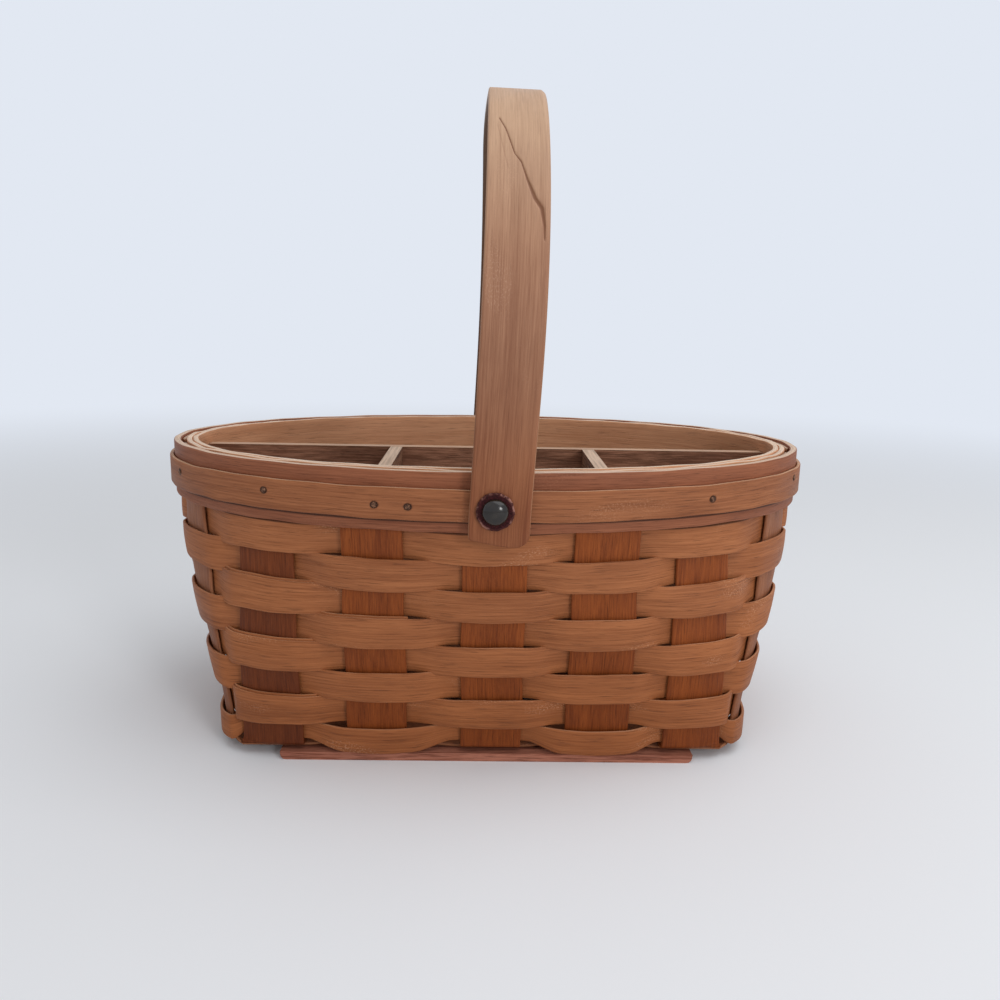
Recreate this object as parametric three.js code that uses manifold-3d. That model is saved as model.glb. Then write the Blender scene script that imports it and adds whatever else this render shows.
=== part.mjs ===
// Woven splint utensil caddy with a swinging bentwood handle.
// Millimetres. Z is up, the long side faces -Y, the feet stand on Z = 0.
import * as THREE from 'three';
import * as BufferGeometryUtils from 'three/addons/utils/BufferGeometryUtils.js';
import Module from 'manifold-3d';

const wasm = await Module();
wasm.setup();

// Rim: three oval bands with upright faces
const RIM_TOP = 146.2;
const RIM_HALF_LENGTH = 162.7;
const RIM_HALF_WIDTH = 106.4;
const OUTER_BAND_THICK = 3.5;
const OUTER_BAND_BOTTOM = 119.4;
const BINDING_THICK = 2;
const BINDING_TOP = 139;
const BINDING_BOTTOM = 124.9;
const INNER_BAND_THICK = 6;
const INNER_BAND_GAP = 0.6;
const INNER_BAND_BOTTOM = 121;
const BAND_STEPS = 72;
const GAP = 0.3;
const STAKE_SLACK = 0.1;

// Splints that make the base and turn up to become the wall stakes
const SPLINT_THICK = 1.6;
const SPLINT_WIDTH = 28;
const SPLINT_TOP = 145;
const LONG_SPLINT_Y = [-60, 0, 60];
const END_STAKE_Y_BASE = 57.4;
const END_STAKE_Y_TOP = 40;
const END_STAKE_DRIFT = 1.5;

// Wall outline, half sizes of the splint mid surface at the base
const BASE_HALF_LENGTH = 129.8;
const BASE_HALF_WIDTH = 77;
const BASE_CORNER_POWER = 8;
const CORNER_FADE = 2.2;
const FLARE_START = 0.05;
const FLARE_END = 0.92;
const CROSS_SPLINT_SHARES = [-0.789, -0.3875, 0.0231, 0.41, 0.782];
const CROSS_SPLINT_X = CROSS_SPLINT_SHARES.map((share) => share * BASE_HALF_LENGTH);

// Weaver rows, A at the top
const ROW_NAMES = ['A', 'B', 'C', 'D', 'E', 'F', 'G', 'H'];
const ROW_TOP_CENTRE = 111.6;
const ROW_PITCH = 14.15;
const ROW_THICK = 1.6;
const ROW_WIDTH_OVER = 15;
const ROW_WIDTH_CROSSING = 13.2;
const ROW_LIFT_EDGE = 2.1;
const ROW_LIFT_MIDDLE = 2.5;
const ROW_SAG = 1;

// Foot runners and base weave
const RUNNER_HEIGHT = 4;
const RUNNER_WIDTH = 16;
const RUNNER_LENGTH = 198.5;
const RUNNER_CENTRE_X = 1.9;
const RUNNER_FRONT_Y = 79.7;
const RUNNER_END_ROUND = 3;
const BASE_LOW = RUNNER_HEIGHT + GAP + SPLINT_THICK / 2;
const BASE_HIGH = BASE_LOW + SPLINT_THICK + GAP;
const BEND_START = 9.5;
const BEND_REACH = 3.2;
const END_BEND_REACH = 8;

// Dividers
const DIVIDER_THICK = 6.4;
const DIVIDER_TOP = 139.7;
const DIVIDER_FRONT_Y = 4;
const CROSS_DIVIDER_X = [-48.9, 54.5];
const DIVIDER_STEP = 10;
const DIVIDER_BOTTOM = BASE_HIGH + SPLINT_THICK / 2 + GAP;

// Handle, a bent strip hung on two rivets
const PIVOT_X = 3.2;
const PIVOT_Z = 131;
const HANDLE_WIDTH = 26;
const HANDLE_THICK = 4.5;
const HANDLE_SIDE_STEP = 2.2;
const HANDLE_LEAN = 0.034;
const HANDLE_DROP = 15.5;
const HANDLE_END_RADIUS = 8;
const HANDLE_SPREAD = 5;
const HANDLE_TOP = 317.5;
const HANDLE_END_SHARES = [1, 0.5625, 0.25, 0.075, 0];

// Rivets, leather washers and the burrs inside
const SHAFT_RADIUS = 2;
const HOLE_RADIUS = 2.35;
const DOME_RADIUS = 5.6;
const DOME_HEIGHT = 3.6;
const WASHER_RADIUS = 8.2;
const WASHER_THICK = 1.4;
const BURR_RADIUS = 5;
const BURR_THICK = 1.2;
const TAIL_RADIUS = 3.4;
const TAIL_HEIGHT = 1.2;
const TAIL_TIP_SHARE = 0.7;
const DOME_STEPS = 5;
const ROUND_STEPS = 20;
const PIVOT_CUTTER_LENGTH = 60;

// Brads through the binding, the front ones as angles round the rim from +X and heights.
// The back repeats them.
const FRONT_BRADS = [[206, 133.6], [233.2, 133.2], [253, 131], [258.2, 130.8], [307.6, 132], [336.5, 134.6]];
const BRADS = [...FRONT_BRADS, ...FRONT_BRADS.map(([degrees, z]) => [degrees - 180, z])];
const BRAD_SHAFT_RADIUS = 0.7;
const BRAD_HOLE_RADIUS = 0.9;
const BRAD_HEAD_RADIUS = 1.3;
const BRAD_HEAD_HEIGHT = 0.4;
const BRAD_HEAD_TOP_SHARE = 0.8;
const BRAD_HEAD_LIFT = 0.1;
const BRAD_LENGTH = 5.5;
const BRAD_CUTTER_LENGTH = 14;
const BRAD_STEPS = 8;

const BINDING_OUT_LENGTH = RIM_HALF_LENGTH + GAP + BINDING_THICK;
const BINDING_OUT_WIDTH = RIM_HALF_WIDTH + GAP + BINDING_THICK;
const STAKE_RIM_INSET = OUTER_BAND_THICK + GAP + STAKE_SLACK + SPLINT_THICK / 2;
const STAKE_RIM_LENGTH = RIM_HALF_LENGTH - STAKE_RIM_INSET;
const STAKE_RIM_WIDTH = RIM_HALF_WIDTH - STAKE_RIM_INSET;
const INNER_BAND_INSET = STAKE_RIM_INSET + SPLINT_THICK / 2 + INNER_BAND_GAP + INNER_BAND_THICK;
const INNER_FACE_LENGTH = RIM_HALF_LENGTH - INNER_BAND_INSET;
const INNER_FACE_WIDTH = RIM_HALF_WIDTH - INNER_BAND_INSET;

// Materials
function wood(colour, roughness) {
  return new THREE.MeshStandardMaterial({ color: colour, roughness, metalness: 0 });
}

const stakeWood = wood('#9c5c33', 0.62);
const weaverWood = wood('#ad7650', 0.6);
const bandWood = wood('#b07c52', 0.58);
const innerWood = wood('#c19364', 0.65);
const dividerWood = wood('#7c5235', 0.75);
const handleWood = wood('#b98a63', 0.5);
const runnerWood = wood('#9a6450', 0.7);
const leather = wood('#46161c', 0.8);
const bronze = new THREE.MeshStandardMaterial({ color: '#3f362e', roughness: 0.35, metalness: 0.9 });
const steel = new THREE.MeshStandardMaterial({ color: '#5a5048', roughness: 0.5, metalness: 0.8 });

// Geometry helpers
function signedVolume(points, faces) {
  let total = 0;
  const cross = new THREE.Vector3();
  for (let k = 0; k < faces.length; k += 3) {
    cross.crossVectors(points[faces[k + 1]], points[faces[k + 2]]);
    total += points[faces[k]].dot(cross) / 6;
  }
  return total;
}

function solidFrom(points, faces) {
  if (signedVolume(points, faces) < 0) {
    faces.reverse();
  }
  const geometry = new THREE.BufferGeometry().setFromPoints(points);
  geometry.setIndex(faces);
  return geometry;
}

// A closed slab of even thickness round a grid of mid surface points.
// The grid is a list of sections and each section a list of columns.
function slab(grid, thick, ring) {
  const rows = grid.length;
  const columns = grid[0].length;
  const points = [];
  for (let r = 0; r < rows; r += 1) {
    const before = ring ? (r + rows - 1) % rows : Math.max(r - 1, 0);
    const after = ring ? (r + 1) % rows : Math.min(r + 1, rows - 1);
    const outer = [];
    const inner = [];
    for (let c = 0; c < columns; c += 1) {
      const along = grid[after][c].clone().sub(grid[before][c]);
      const right = Math.min(c + 1, columns - 1);
      const left = Math.max(c - 1, 0);
      const across = grid[r][right].clone().sub(grid[r][left]);
      const normal = along.cross(across).normalize().multiplyScalar(thick / 2);
      outer.push(grid[r][c].clone().add(normal));
      inner.push(grid[r][c].clone().sub(normal));
    }
    points.push(...outer, ...inner.reverse());
  }
  const ringSize = columns * 2;
  const faces = [];
  for (let r = 0; r < (ring ? rows : rows - 1); r += 1) {
    const next = (r + 1) % rows;
    for (let k = 0; k < ringSize; k += 1) {
      const a = r * ringSize + k;
      const b = r * ringSize + (k + 1) % ringSize;
      const c = next * ringSize + (k + 1) % ringSize;
      const d = next * ringSize + k;
      faces.push(a, b, c, a, c, d);
    }
  }
  if (!ring) {
    const last = (rows - 1) * ringSize;
    for (let c = 0; c < columns - 1; c += 1) {
      const far = ringSize - 1 - c;
      faces.push(c, far, c + 1, c + 1, far, far - 1);
      faces.push(last + c, last + c + 1, last + far, last + c + 1, last + far - 1, last + far);
    }
  }
  return solidFrom(points, faces);
}

function toManifold(geometry) {
  const plain = geometry.clone();
  plain.deleteAttribute('normal');
  plain.deleteAttribute('uv');
  const merged = BufferGeometryUtils.mergeVertices(plain, 1e-4);
  const vertProperties = Float32Array.from(merged.attributes.position.array);
  const triVerts = Uint32Array.from(merged.index.array);
  return new wasm.Manifold(new wasm.Mesh({ numProp: 3, vertProperties, triVerts }));
}

function fromManifold(solid) {
  const mesh = solid.getMesh();
  const places = new THREE.BufferAttribute(Float32Array.from(mesh.vertProperties), 3);
  const corners = new THREE.BufferAttribute(Uint32Array.from(mesh.triVerts), 1);
  const geometry = new THREE.BufferGeometry();
  geometry.setAttribute('position', places);
  geometry.setIndex(corners);
  return geometry;
}

function drill(geometry, cutters) {
  let solid = toManifold(geometry);
  for (const cutter of cutters) {
    solid = solid.subtract(toManifold(cutter));
  }
  return fromManifold(solid);
}

function lathe(outline, steps) {
  const points = outline.map(([radius, height]) => new THREE.Vector2(radius, height));
  return new THREE.LatheGeometry(points, steps);
}

// Plan outline of the wall at a height
function blend(from, to, share) {
  return from + (to - from) * share;
}

function ease(share) {
  const t = Math.min(Math.max(share, 0), 1);
  return t * t * (3 - 2 * t);
}

function outlineAt(z) {
  const share = Math.min(Math.max(z / OUTER_BAND_BOTTOM, 0), 1);
  const flare = ease((share - FLARE_START) / (FLARE_END - FLARE_START));
  const length = blend(BASE_HALF_LENGTH, STAKE_RIM_LENGTH, flare);
  const width = blend(BASE_HALF_WIDTH, STAKE_RIM_WIDTH, share);
  const power = 2 + (BASE_CORNER_POWER - 2) * (1 - share) ** CORNER_FADE;
  return { length, width, power };
}

function ovalPoint(length, width, power, angle) {
  const c = Math.cos(angle);
  const s = Math.sin(angle);
  const x = length * Math.sign(c) * Math.abs(c) ** (2 / power);
  const y = width * Math.sign(s) * Math.abs(s) ** (2 / power);
  return new THREE.Vector2(x, y);
}

// Fine plan line with its running length, going counterclockwise from -X
const PLAN_STEPS = 1440;
const planCache = new Map();

function planAt(z) {
  const key = z.toFixed(4);
  if (planCache.has(key)) {
    return planCache.get(key);
  }
  const { length, width, power } = outlineAt(z);
  const points = [];
  for (let k = 0; k <= PLAN_STEPS; k += 1) {
    points.push(ovalPoint(length, width, power, Math.PI + (2 * Math.PI * k) / PLAN_STEPS));
  }
  const run = [0];
  for (let k = 1; k <= PLAN_STEPS; k += 1) {
    run.push(run[k - 1] + points[k].distanceTo(points[k - 1]));
  }
  const plan = { points, run, total: run[PLAN_STEPS] };
  plan.stakes = stakeRuns(z, plan);
  planCache.set(key, plan);
  return plan;
}

function runWhere(plan, fromStep, toStep, test) {
  for (let k = fromStep; k < toStep; k += 1) {
    const a = test(plan.points[k]);
    const b = test(plan.points[k + 1]);
    if (a * b <= 0 && a !== b) {
      return blend(plan.run[k], plan.run[k + 1], a / (a - b));
    }
  }
  throw new Error('stake not found on the wall');
}

// Running length of all 16 stake centres, front left stake first
function stakeRuns(z, plan) {
  const quarter = PLAN_STEPS / 4;
  const rise = Math.min(z / ROW_TOP_CENTRE, 1) ** END_STAKE_DRIFT;
  const endY = blend(END_STAKE_Y_BASE, END_STAKE_Y_TOP, rise);
  const endPlaces = [-endY, 0, endY];
  const front = CROSS_SPLINT_X.map((x) => runWhere(plan, 0, 2 * quarter, (p) => p.x - x));
  const right = endPlaces.map((y) => runWhere(plan, quarter, 3 * quarter, (p) => p.y - y));
  const back = [...CROSS_SPLINT_X].reverse()
    .map((x) => runWhere(plan, 2 * quarter, 4 * quarter, (p) => p.x - x));
  const leftBack = runWhere(plan, 3 * quarter, 4 * quarter, (p) => p.y - endY);
  const leftFront = runWhere(plan, 0, quarter, (p) => p.y + endY) + plan.total;
  return [...front, ...right, ...back, leftBack, plan.total, leftFront];
}

// Plan place and outward direction at a running length
function planPlace(plan, run) {
  const wanted = ((run % plan.total) + plan.total) % plan.total;
  let low = 0;
  let high = PLAN_STEPS;
  while (high - low > 1) {
    const middle = (low + high) >> 1;
    if (plan.run[middle] <= wanted) {
      low = middle;
    } else {
      high = middle;
    }
  }
  const share = (wanted - plan.run[low]) / (plan.run[high] - plan.run[low]);
  const place = plan.points[low].clone().lerp(plan.points[high], share);
  const step = plan.points[high].clone().sub(plan.points[low]).normalize();
  return { place, out: new THREE.Vector2(step.y, -step.x) };
}

function wallPoint(z, run, lift) {
  const { place, out } = planPlace(planAt(z), run);
  return new THREE.Vector3(place.x + out.x * lift, place.y + out.y * lift, z);
}

// Weaver rows: one closed hoop each, over one stake and under the next
const STAKE_COUNT = 2 * (CROSS_SPLINT_X.length + LONG_SPLINT_Y.length);
const HALF_STAKE = SPLINT_WIDTH / 2;
const FREE_SHARES = [1 / 3, 2 / 3];
const ROW_FLOOR_OUTSIDE = RUNNER_HEIGHT + GAP;
const ROW_FLOOR_INSIDE = BEND_START + GAP;

function rowStations() {
  const stations = [];
  for (let stake = 0; stake < STAKE_COUNT; stake += 1) {
    const side = stake % 2 === 0 ? 1 : -1;
    stations.push({ stake, offset: -HALF_STAKE, share: 0, lift: side * ROW_LIFT_EDGE });
    stations.push({ stake, offset: 0, share: 0, lift: side * ROW_LIFT_MIDDLE });
    stations.push({ stake, offset: HALF_STAKE, share: 0, lift: side * ROW_LIFT_EDGE });
    for (const share of FREE_SHARES) {
      const lift = side * ROW_LIFT_EDGE * Math.cos(Math.PI * share);
      stations.push({ stake, offset: HALF_STAKE, share, lift });
    }
  }
  return stations;
}

function stationRun(plan, station) {
  const here = plan.stakes[station.stake];
  const isLast = station.stake === STAKE_COUNT - 1;
  const next = isLast ? plan.stakes[0] + plan.total : plan.stakes[station.stake + 1];
  const free = next - here - SPLINT_WIDTH;
  return here + station.offset + station.share * free;
}

function weaverRow(index) {
  const side = index % 2 === 0 ? 1 : -1;
  const clear = ROW_THICK / 2 + GAP;
  const grid = rowStations().map((station) => {
    const lift = side * station.lift;
    const rise = Math.max(0, (Math.abs(lift) - clear) / (ROW_LIFT_EDGE - clear));
    const width = blend(ROW_WIDTH_CROSSING, ROW_WIDTH_OVER, Math.min(rise, 1));
    const centre = ROW_TOP_CENTRE - index * ROW_PITCH - (ROW_SAG * lift) / ROW_LIFT_MIDDLE;
    const inside = Math.min(Math.max(0.5 - lift / ROW_LIFT_EDGE / 2, 0), 1);
    const floor = blend(ROW_FLOOR_OUTSIDE, ROW_FLOOR_INSIDE, Math.cbrt(inside));
    return [Math.max(centre - width / 2, floor), centre + width / 2].map((z) => (
      wallPoint(z, stationRun(planAt(z), station), lift)
    ));
  });
  return slab(grid, ROW_THICK, true);
}

// Splints: base strip with a stake at either end, all from one grid
const WALL_LEVELS = [SPLINT_TOP, OUTER_BAND_BOTTOM];
for (let row = 0; row < ROW_NAMES.length; row += 1) {
  WALL_LEVELS.push(ROW_TOP_CENTRE - row * ROW_PITCH);
}
WALL_LEVELS[WALL_LEVELS.length - 1] = BEND_START;
const COLUMN_OFFSETS = [-HALF_STAKE, 0, HALF_STAKE];
const BEND_SHARES = [0.25, 0.5, 0.75];
const LAST_BACK_STAKE = 2 * CROSS_SPLINT_X.length + LONG_SPLINT_Y.length - 1;
const LEFT_STAKES = [STAKE_COUNT - 1, STAKE_COUNT - 2, STAKE_COUNT - 3];
const FIRST_RIGHT_STAKE = CROSS_SPLINT_X.length;

function stakeSections(stake, columnOrder) {
  return WALL_LEVELS.map((z) => columnOrder.map((offset) => (
    wallPoint(z, planAt(z).stakes[stake] + offset, 0)
  )));
}

// Rounded turn from the wall section down to the flat base section
function bendSections(wallSection, baseSection) {
  return BEND_SHARES.map((share) => wallSection.map((wall, c) => {
    const base = baseSection[c];
    const corner = new THREE.Vector3(wall.x, wall.y, base.z);
    const first = wall.clone().lerp(corner, share);
    const second = corner.lerp(base, share);
    return first.lerp(second, share);
  }));
}

function splint(startStake, endStake, baseSections) {
  const down = stakeSections(startStake, COLUMN_OFFSETS);
  const up = stakeSections(endStake, [...COLUMN_OFFSETS].reverse()).reverse();
  const grid = [
    ...down,
    ...bendSections(down[down.length - 1], baseSections[0]),
    ...baseSections,
    ...bendSections(up[0], baseSections[baseSections.length - 1]).reverse(),
    ...up,
  ];
  return slab(grid, SPLINT_THICK, false);
}

function baseLevel(isLow) {
  return isLow ? BASE_LOW : BASE_HIGH;
}

// Strip from the front wall to the back wall
function crossSplint(index) {
  const centreX = CROSS_SPLINT_X[index];
  const wallY = outlineAt(BEND_START).width - BEND_REACH;
  const sections = [];
  LONG_SPLINT_Y.forEach((y, k) => {
    const z = baseLevel((index + k) % 2 === 1);
    const near = k === 0 ? -wallY : y - HALF_STAKE;
    const far = k === LONG_SPLINT_Y.length - 1 ? wallY : y + HALF_STAKE;
    for (const place of [near, far]) {
      sections.push(COLUMN_OFFSETS.map((dx) => new THREE.Vector3(centreX + dx, place, z)));
    }
  });
  return splint(index, LAST_BACK_STAKE - index, sections);
}

// Strip from the left wall to the right wall
function longSplint(index) {
  const centreY = LONG_SPLINT_Y[index];
  const sections = [];
  CROSS_SPLINT_X.forEach((x, k) => {
    const z = baseLevel((index + k) % 2 === 0);
    for (const place of [x - HALF_STAKE, x + HALF_STAKE]) {
      sections.push(COLUMN_OFFSETS.map((dy) => new THREE.Vector3(place, centreY - dy, z)));
    }
  });
  return splint(LEFT_STAKES[index], FIRST_RIGHT_STAKE + index, sections);
}

// Rim bands
function band(outLength, outWidth, thick, bottom, top) {
  const grid = [];
  for (let k = 0; k < BAND_STEPS; k += 1) {
    const angle = (2 * Math.PI * k) / BAND_STEPS;
    const place = ovalPoint(outLength - thick / 2, outWidth - thick / 2, 2, angle);
    grid.push([new THREE.Vector3(place.x, place.y, bottom), new THREE.Vector3(place.x, place.y, top)]);
  }
  return slab(grid, thick, true);
}

// Straight hole cutters along Y at the two pivots
function pivotCutters() {
  return [-1, 1].map((side) => {
    const cutter = new THREE.CylinderGeometry(
      HOLE_RADIUS, HOLE_RADIUS, PIVOT_CUTTER_LENGTH, ROUND_STEPS,
    );
    return cutter.translate(PIVOT_X, side * RIM_HALF_WIDTH, PIVOT_Z);
  });
}

// Place on the binding's outer face and the outward heading there
function bradPlace(degrees) {
  const angle = THREE.MathUtils.degToRad(degrees);
  const place = ovalPoint(BINDING_OUT_LENGTH, BINDING_OUT_WIDTH, 2, angle);
  const outX = Math.cos(angle) / BINDING_OUT_LENGTH;
  const outY = Math.sin(angle) / BINDING_OUT_WIDTH;
  return { place, heading: Math.atan2(outY, outX) };
}

function aimOutward(geometry, [degrees, z]) {
  const { place, heading } = bradPlace(degrees);
  return geometry.rotateZ(-Math.PI / 2).rotateZ(heading).translate(place.x, place.y, z);
}

function bradCutters() {
  return BRADS.map((spot) => {
    const cutter = new THREE.CylinderGeometry(
      BRAD_HOLE_RADIUS, BRAD_HOLE_RADIUS, BRAD_CUTTER_LENGTH, BRAD_STEPS,
    );
    return aimOutward(cutter, spot);
  });
}

function brad(spot) {
  const outline = [
    [0, -BRAD_LENGTH],
    [BRAD_SHAFT_RADIUS, -BRAD_LENGTH],
    [BRAD_SHAFT_RADIUS, BRAD_HEAD_LIFT],
    [BRAD_HEAD_RADIUS, BRAD_HEAD_LIFT],
    [BRAD_HEAD_RADIUS * BRAD_HEAD_TOP_SHARE, BRAD_HEAD_LIFT + BRAD_HEAD_HEIGHT],
    [0, BRAD_HEAD_LIFT + BRAD_HEAD_HEIGHT],
  ];
  return aimOutward(lathe(outline, BRAD_STEPS), spot);
}

// Foot runner, a flat strip with rounded ends
function runner(side) {
  const half = RUNNER_LENGTH / 2;
  const shape = new THREE.Shape();
  shape.moveTo(-half + RUNNER_END_ROUND, 0);
  shape.lineTo(half - RUNNER_END_ROUND, 0);
  shape.quadraticCurveTo(half, 0, half, RUNNER_HEIGHT);
  shape.lineTo(-half, RUNNER_HEIGHT);
  shape.quadraticCurveTo(-half, 0, -half + RUNNER_END_ROUND, 0);
  const geometry = new THREE.ExtrudeGeometry(shape, {
    depth: RUNNER_WIDTH, bevelEnabled: false, curveSegments: 4,
  });
  geometry.rotateX(Math.PI / 2);
  const backY = side < 0 ? -RUNNER_FRONT_Y + RUNNER_WIDTH : RUNNER_FRONT_Y;
  return geometry.translate(RUNNER_CENTRE_X, backY, 0);
}

// Dividers, cut to the taper of the wall
const WALL_CLEARANCE = ROW_LIFT_MIDDLE + ROW_THICK / 2 + GAP;
const DIVIDER_LEVELS = [DIVIDER_BOTTOM, BEND_START + GAP];
for (let z = 2 * DIVIDER_STEP; z < INNER_BAND_BOTTOM - DIVIDER_STEP; z += DIVIDER_STEP) {
  DIVIDER_LEVELS.push(z);
}
DIVIDER_LEVELS.push(INNER_BAND_BOTTOM - GAP, DIVIDER_TOP);

function bendInset(z, reach) {
  return z < BEND_START ? reach : 0;
}

function reachAlongX(z) {
  const backY = DIVIDER_FRONT_Y + DIVIDER_THICK;
  const bandReach = INNER_FACE_LENGTH * Math.sqrt(1 - (backY / INNER_FACE_WIDTH) ** 2) - GAP;
  return Math.min(outlineAt(z).length - WALL_CLEARANCE - bendInset(z, END_BEND_REACH), bandReach);
}

function reachAlongY(z, x) {
  const { length, width, power } = outlineAt(z);
  const wall = width * (1 - Math.abs(x / length) ** power) ** (1 / power) - WALL_CLEARANCE;
  const bandReach = INNER_FACE_WIDTH * Math.sqrt(1 - (x / INNER_FACE_LENGTH) ** 2) - GAP;
  return Math.min(wall - bendInset(z, BEND_REACH), bandReach);
}

function longDivider() {
  const shape = new THREE.Shape();
  const right = DIVIDER_LEVELS.map((z) => new THREE.Vector2(reachAlongX(z), z));
  const left = DIVIDER_LEVELS.map((z) => new THREE.Vector2(-reachAlongX(z), z)).reverse();
  shape.setFromPoints([...right, ...left]);
  const geometry = new THREE.ExtrudeGeometry(shape, { depth: DIVIDER_THICK, bevelEnabled: false });
  return geometry.rotateX(Math.PI / 2).translate(0, DIVIDER_FRONT_Y + DIVIDER_THICK, 0);
}

function crossDivider(x) {
  const shape = new THREE.Shape();
  const edgeX = Math.abs(x) + DIVIDER_THICK / 2;
  const front = DIVIDER_LEVELS.map((z) => new THREE.Vector2(-reachAlongY(z, edgeX), z));
  const backY = DIVIDER_FRONT_Y - GAP;
  const back = [new THREE.Vector2(backY, DIVIDER_TOP), new THREE.Vector2(backY, DIVIDER_BOTTOM)];
  shape.setFromPoints([...front, ...back]);
  const geometry = new THREE.ExtrudeGeometry(shape, { depth: DIVIDER_THICK, bevelEnabled: false });
  geometry.rotateX(Math.PI / 2).rotateZ(Math.PI / 2);
  return geometry.translate(x - DIVIDER_THICK / 2, 0, 0);
}

// Handle: mid line of one half in the plane of the arch, from the top down
const HANDLE_FOOT_Y = BINDING_OUT_WIDTH + GAP + HANDLE_THICK / 2;
const ARCH_RADIUS = HANDLE_FOOT_Y + HANDLE_SPREAD;
const ARCH_CENTRE_Z = HANDLE_TOP - HANDLE_THICK / 2 - ARCH_RADIUS;
const ARCH_STEPS = 14;
const LEG_SHARES = [0.2, 0.4, 0.6, 0.8];

function handleHalf() {
  const points = [];
  for (let k = 0; k <= ARCH_STEPS; k += 1) {
    const angle = (Math.PI / 2) * (1 - k / ARCH_STEPS);
    const y = ARCH_RADIUS * Math.cos(angle);
    points.push(new THREE.Vector2(y, ARCH_CENTRE_Z + ARCH_RADIUS * Math.sin(angle)));
  }
  const legTop = PIVOT_Z + HANDLE_DROP;
  for (const share of LEG_SHARES) {
    const y = blend(ARCH_RADIUS, HANDLE_FOOT_Y, ease(share));
    points.push(new THREE.Vector2(y, blend(ARCH_CENTRE_Z, legTop, share)));
  }
  points.push(new THREE.Vector2(HANDLE_FOOT_Y, legTop));
  return points;
}

function handleEndHalfWidth(distance) {
  const half = HANDLE_WIDTH / 2;
  if (distance >= HANDLE_END_RADIUS) {
    return half;
  }
  const short = HANDLE_END_RADIUS - distance;
  return half - HANDLE_END_RADIUS + Math.sqrt(HANDLE_END_RADIUS ** 2 - short ** 2);
}

function leanFromPivot(point) {
  const height = point.z - PIVOT_Z;
  const side = point.x;
  const c = Math.cos(HANDLE_LEAN);
  const s = Math.sin(HANDLE_LEAN);
  return new THREE.Vector3(PIVOT_X + side * c + height * s, point.y, PIVOT_Z + height * c - side * s);
}

function handle() {
  const half = handleHalf().map((p) => ({ y: p.x, z: p.y, width: HANDLE_WIDTH / 2 }));
  for (const share of HANDLE_END_SHARES) {
    const distance = share * HANDLE_END_RADIUS;
    const z = PIVOT_Z - HANDLE_DROP + distance;
    half.push({ y: HANDLE_FOOT_Y, z, width: handleEndHalfWidth(distance) });
  }
  const front = [...half].reverse().map((p) => ({ ...p, y: -p.y }));
  const path = [...front, ...half.slice(1)];
  const grid = path.map((p) => [-1, 1].map((side) => (
    leanFromPivot(new THREE.Vector3(HANDLE_SIDE_STEP + side * p.width, p.y, p.z))
  )));
  return drill(slab(grid, HANDLE_THICK, false), pivotCutters());
}

// Rivet set at one pivot, built along +Y and turned for the front
const HANDLE_OUT_Y = HANDLE_FOOT_Y + HANDLE_THICK / 2;
const WASHER_START = HANDLE_OUT_Y + GAP;
const DOME_START = WASHER_START + WASHER_THICK + GAP;
const BURR_END = INNER_FACE_WIDTH - GAP;
const TAIL_START = BURR_END - BURR_THICK - GAP;

function atPivot(geometry, side) {
  if (side < 0) {
    geometry.rotateZ(Math.PI);
  }
  return geometry.translate(PIVOT_X, 0, PIVOT_Z);
}

function rivet(side) {
  const outline = [
    [0, TAIL_START - TAIL_HEIGHT],
    [TAIL_RADIUS * TAIL_TIP_SHARE, TAIL_START - TAIL_HEIGHT],
    [TAIL_RADIUS, TAIL_START],
    [SHAFT_RADIUS, TAIL_START],
    [SHAFT_RADIUS, DOME_START],
  ];
  for (let k = 0; k <= DOME_STEPS; k += 1) {
    const angle = (Math.PI / 2) * (k / DOME_STEPS);
    outline.push([DOME_RADIUS * Math.cos(angle), DOME_START + DOME_HEIGHT * Math.sin(angle)]);
  }
  outline[outline.length - 1][0] = 0;
  return atPivot(lathe(outline, ROUND_STEPS), side);
}

function ringAlongY(radius, start, end) {
  const outline = [
    [HOLE_RADIUS, start],
    [radius, start],
    [radius, end],
    [HOLE_RADIUS, end],
    [HOLE_RADIUS, start],
  ];
  return lathe(outline, ROUND_STEPS);
}

// Assembly
const caddy = new THREE.Group();
caddy.name = 'utensil_caddy';

function add(name, geometry, material) {
  const plain = geometry.clone();
  plain.deleteAttribute('normal');
  plain.deleteAttribute('uv');
  const merged = BufferGeometryUtils.mergeVertices(plain, 1e-4);
  const mesh = new THREE.Mesh(merged, material);
  merged.computeVertexNormals();
  mesh.name = name;
  caddy.add(mesh);
}

const crossNames = ['left', 'left_mid', 'middle', 'right_mid', 'right'];
crossNames.forEach((place, index) => {
  const strip = crossSplint(index);
  const finished = place === 'middle' ? drill(strip, pivotCutters()) : strip;
  add(`cross_splint_${place}`, finished, stakeWood);
});
['front', 'middle', 'back'].forEach((place, index) => {
  add(`long_splint_${place}`, longSplint(index), stakeWood);
});
ROW_NAMES.forEach((letter, index) => {
  add(`weaver_row_${letter}`, weaverRow(index), weaverWood);
});

const outerBand = band(RIM_HALF_LENGTH, RIM_HALF_WIDTH, OUTER_BAND_THICK, OUTER_BAND_BOTTOM, RIM_TOP);
add('rim_outer_band', drill(outerBand, [...pivotCutters(), ...bradCutters()]), bandWood);
const binding = band(BINDING_OUT_LENGTH, BINDING_OUT_WIDTH, BINDING_THICK, BINDING_BOTTOM, BINDING_TOP);
add('rim_binding', drill(binding, [...pivotCutters(), ...bradCutters()]), bandWood);
const innerLength = INNER_FACE_LENGTH + INNER_BAND_THICK;
const innerWidth = INNER_FACE_WIDTH + INNER_BAND_THICK;
const innerBand = band(innerLength, innerWidth, INNER_BAND_THICK, INNER_BAND_BOTTOM, RIM_TOP);
add('rim_inner_band', drill(innerBand, pivotCutters()), innerWood);

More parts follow.
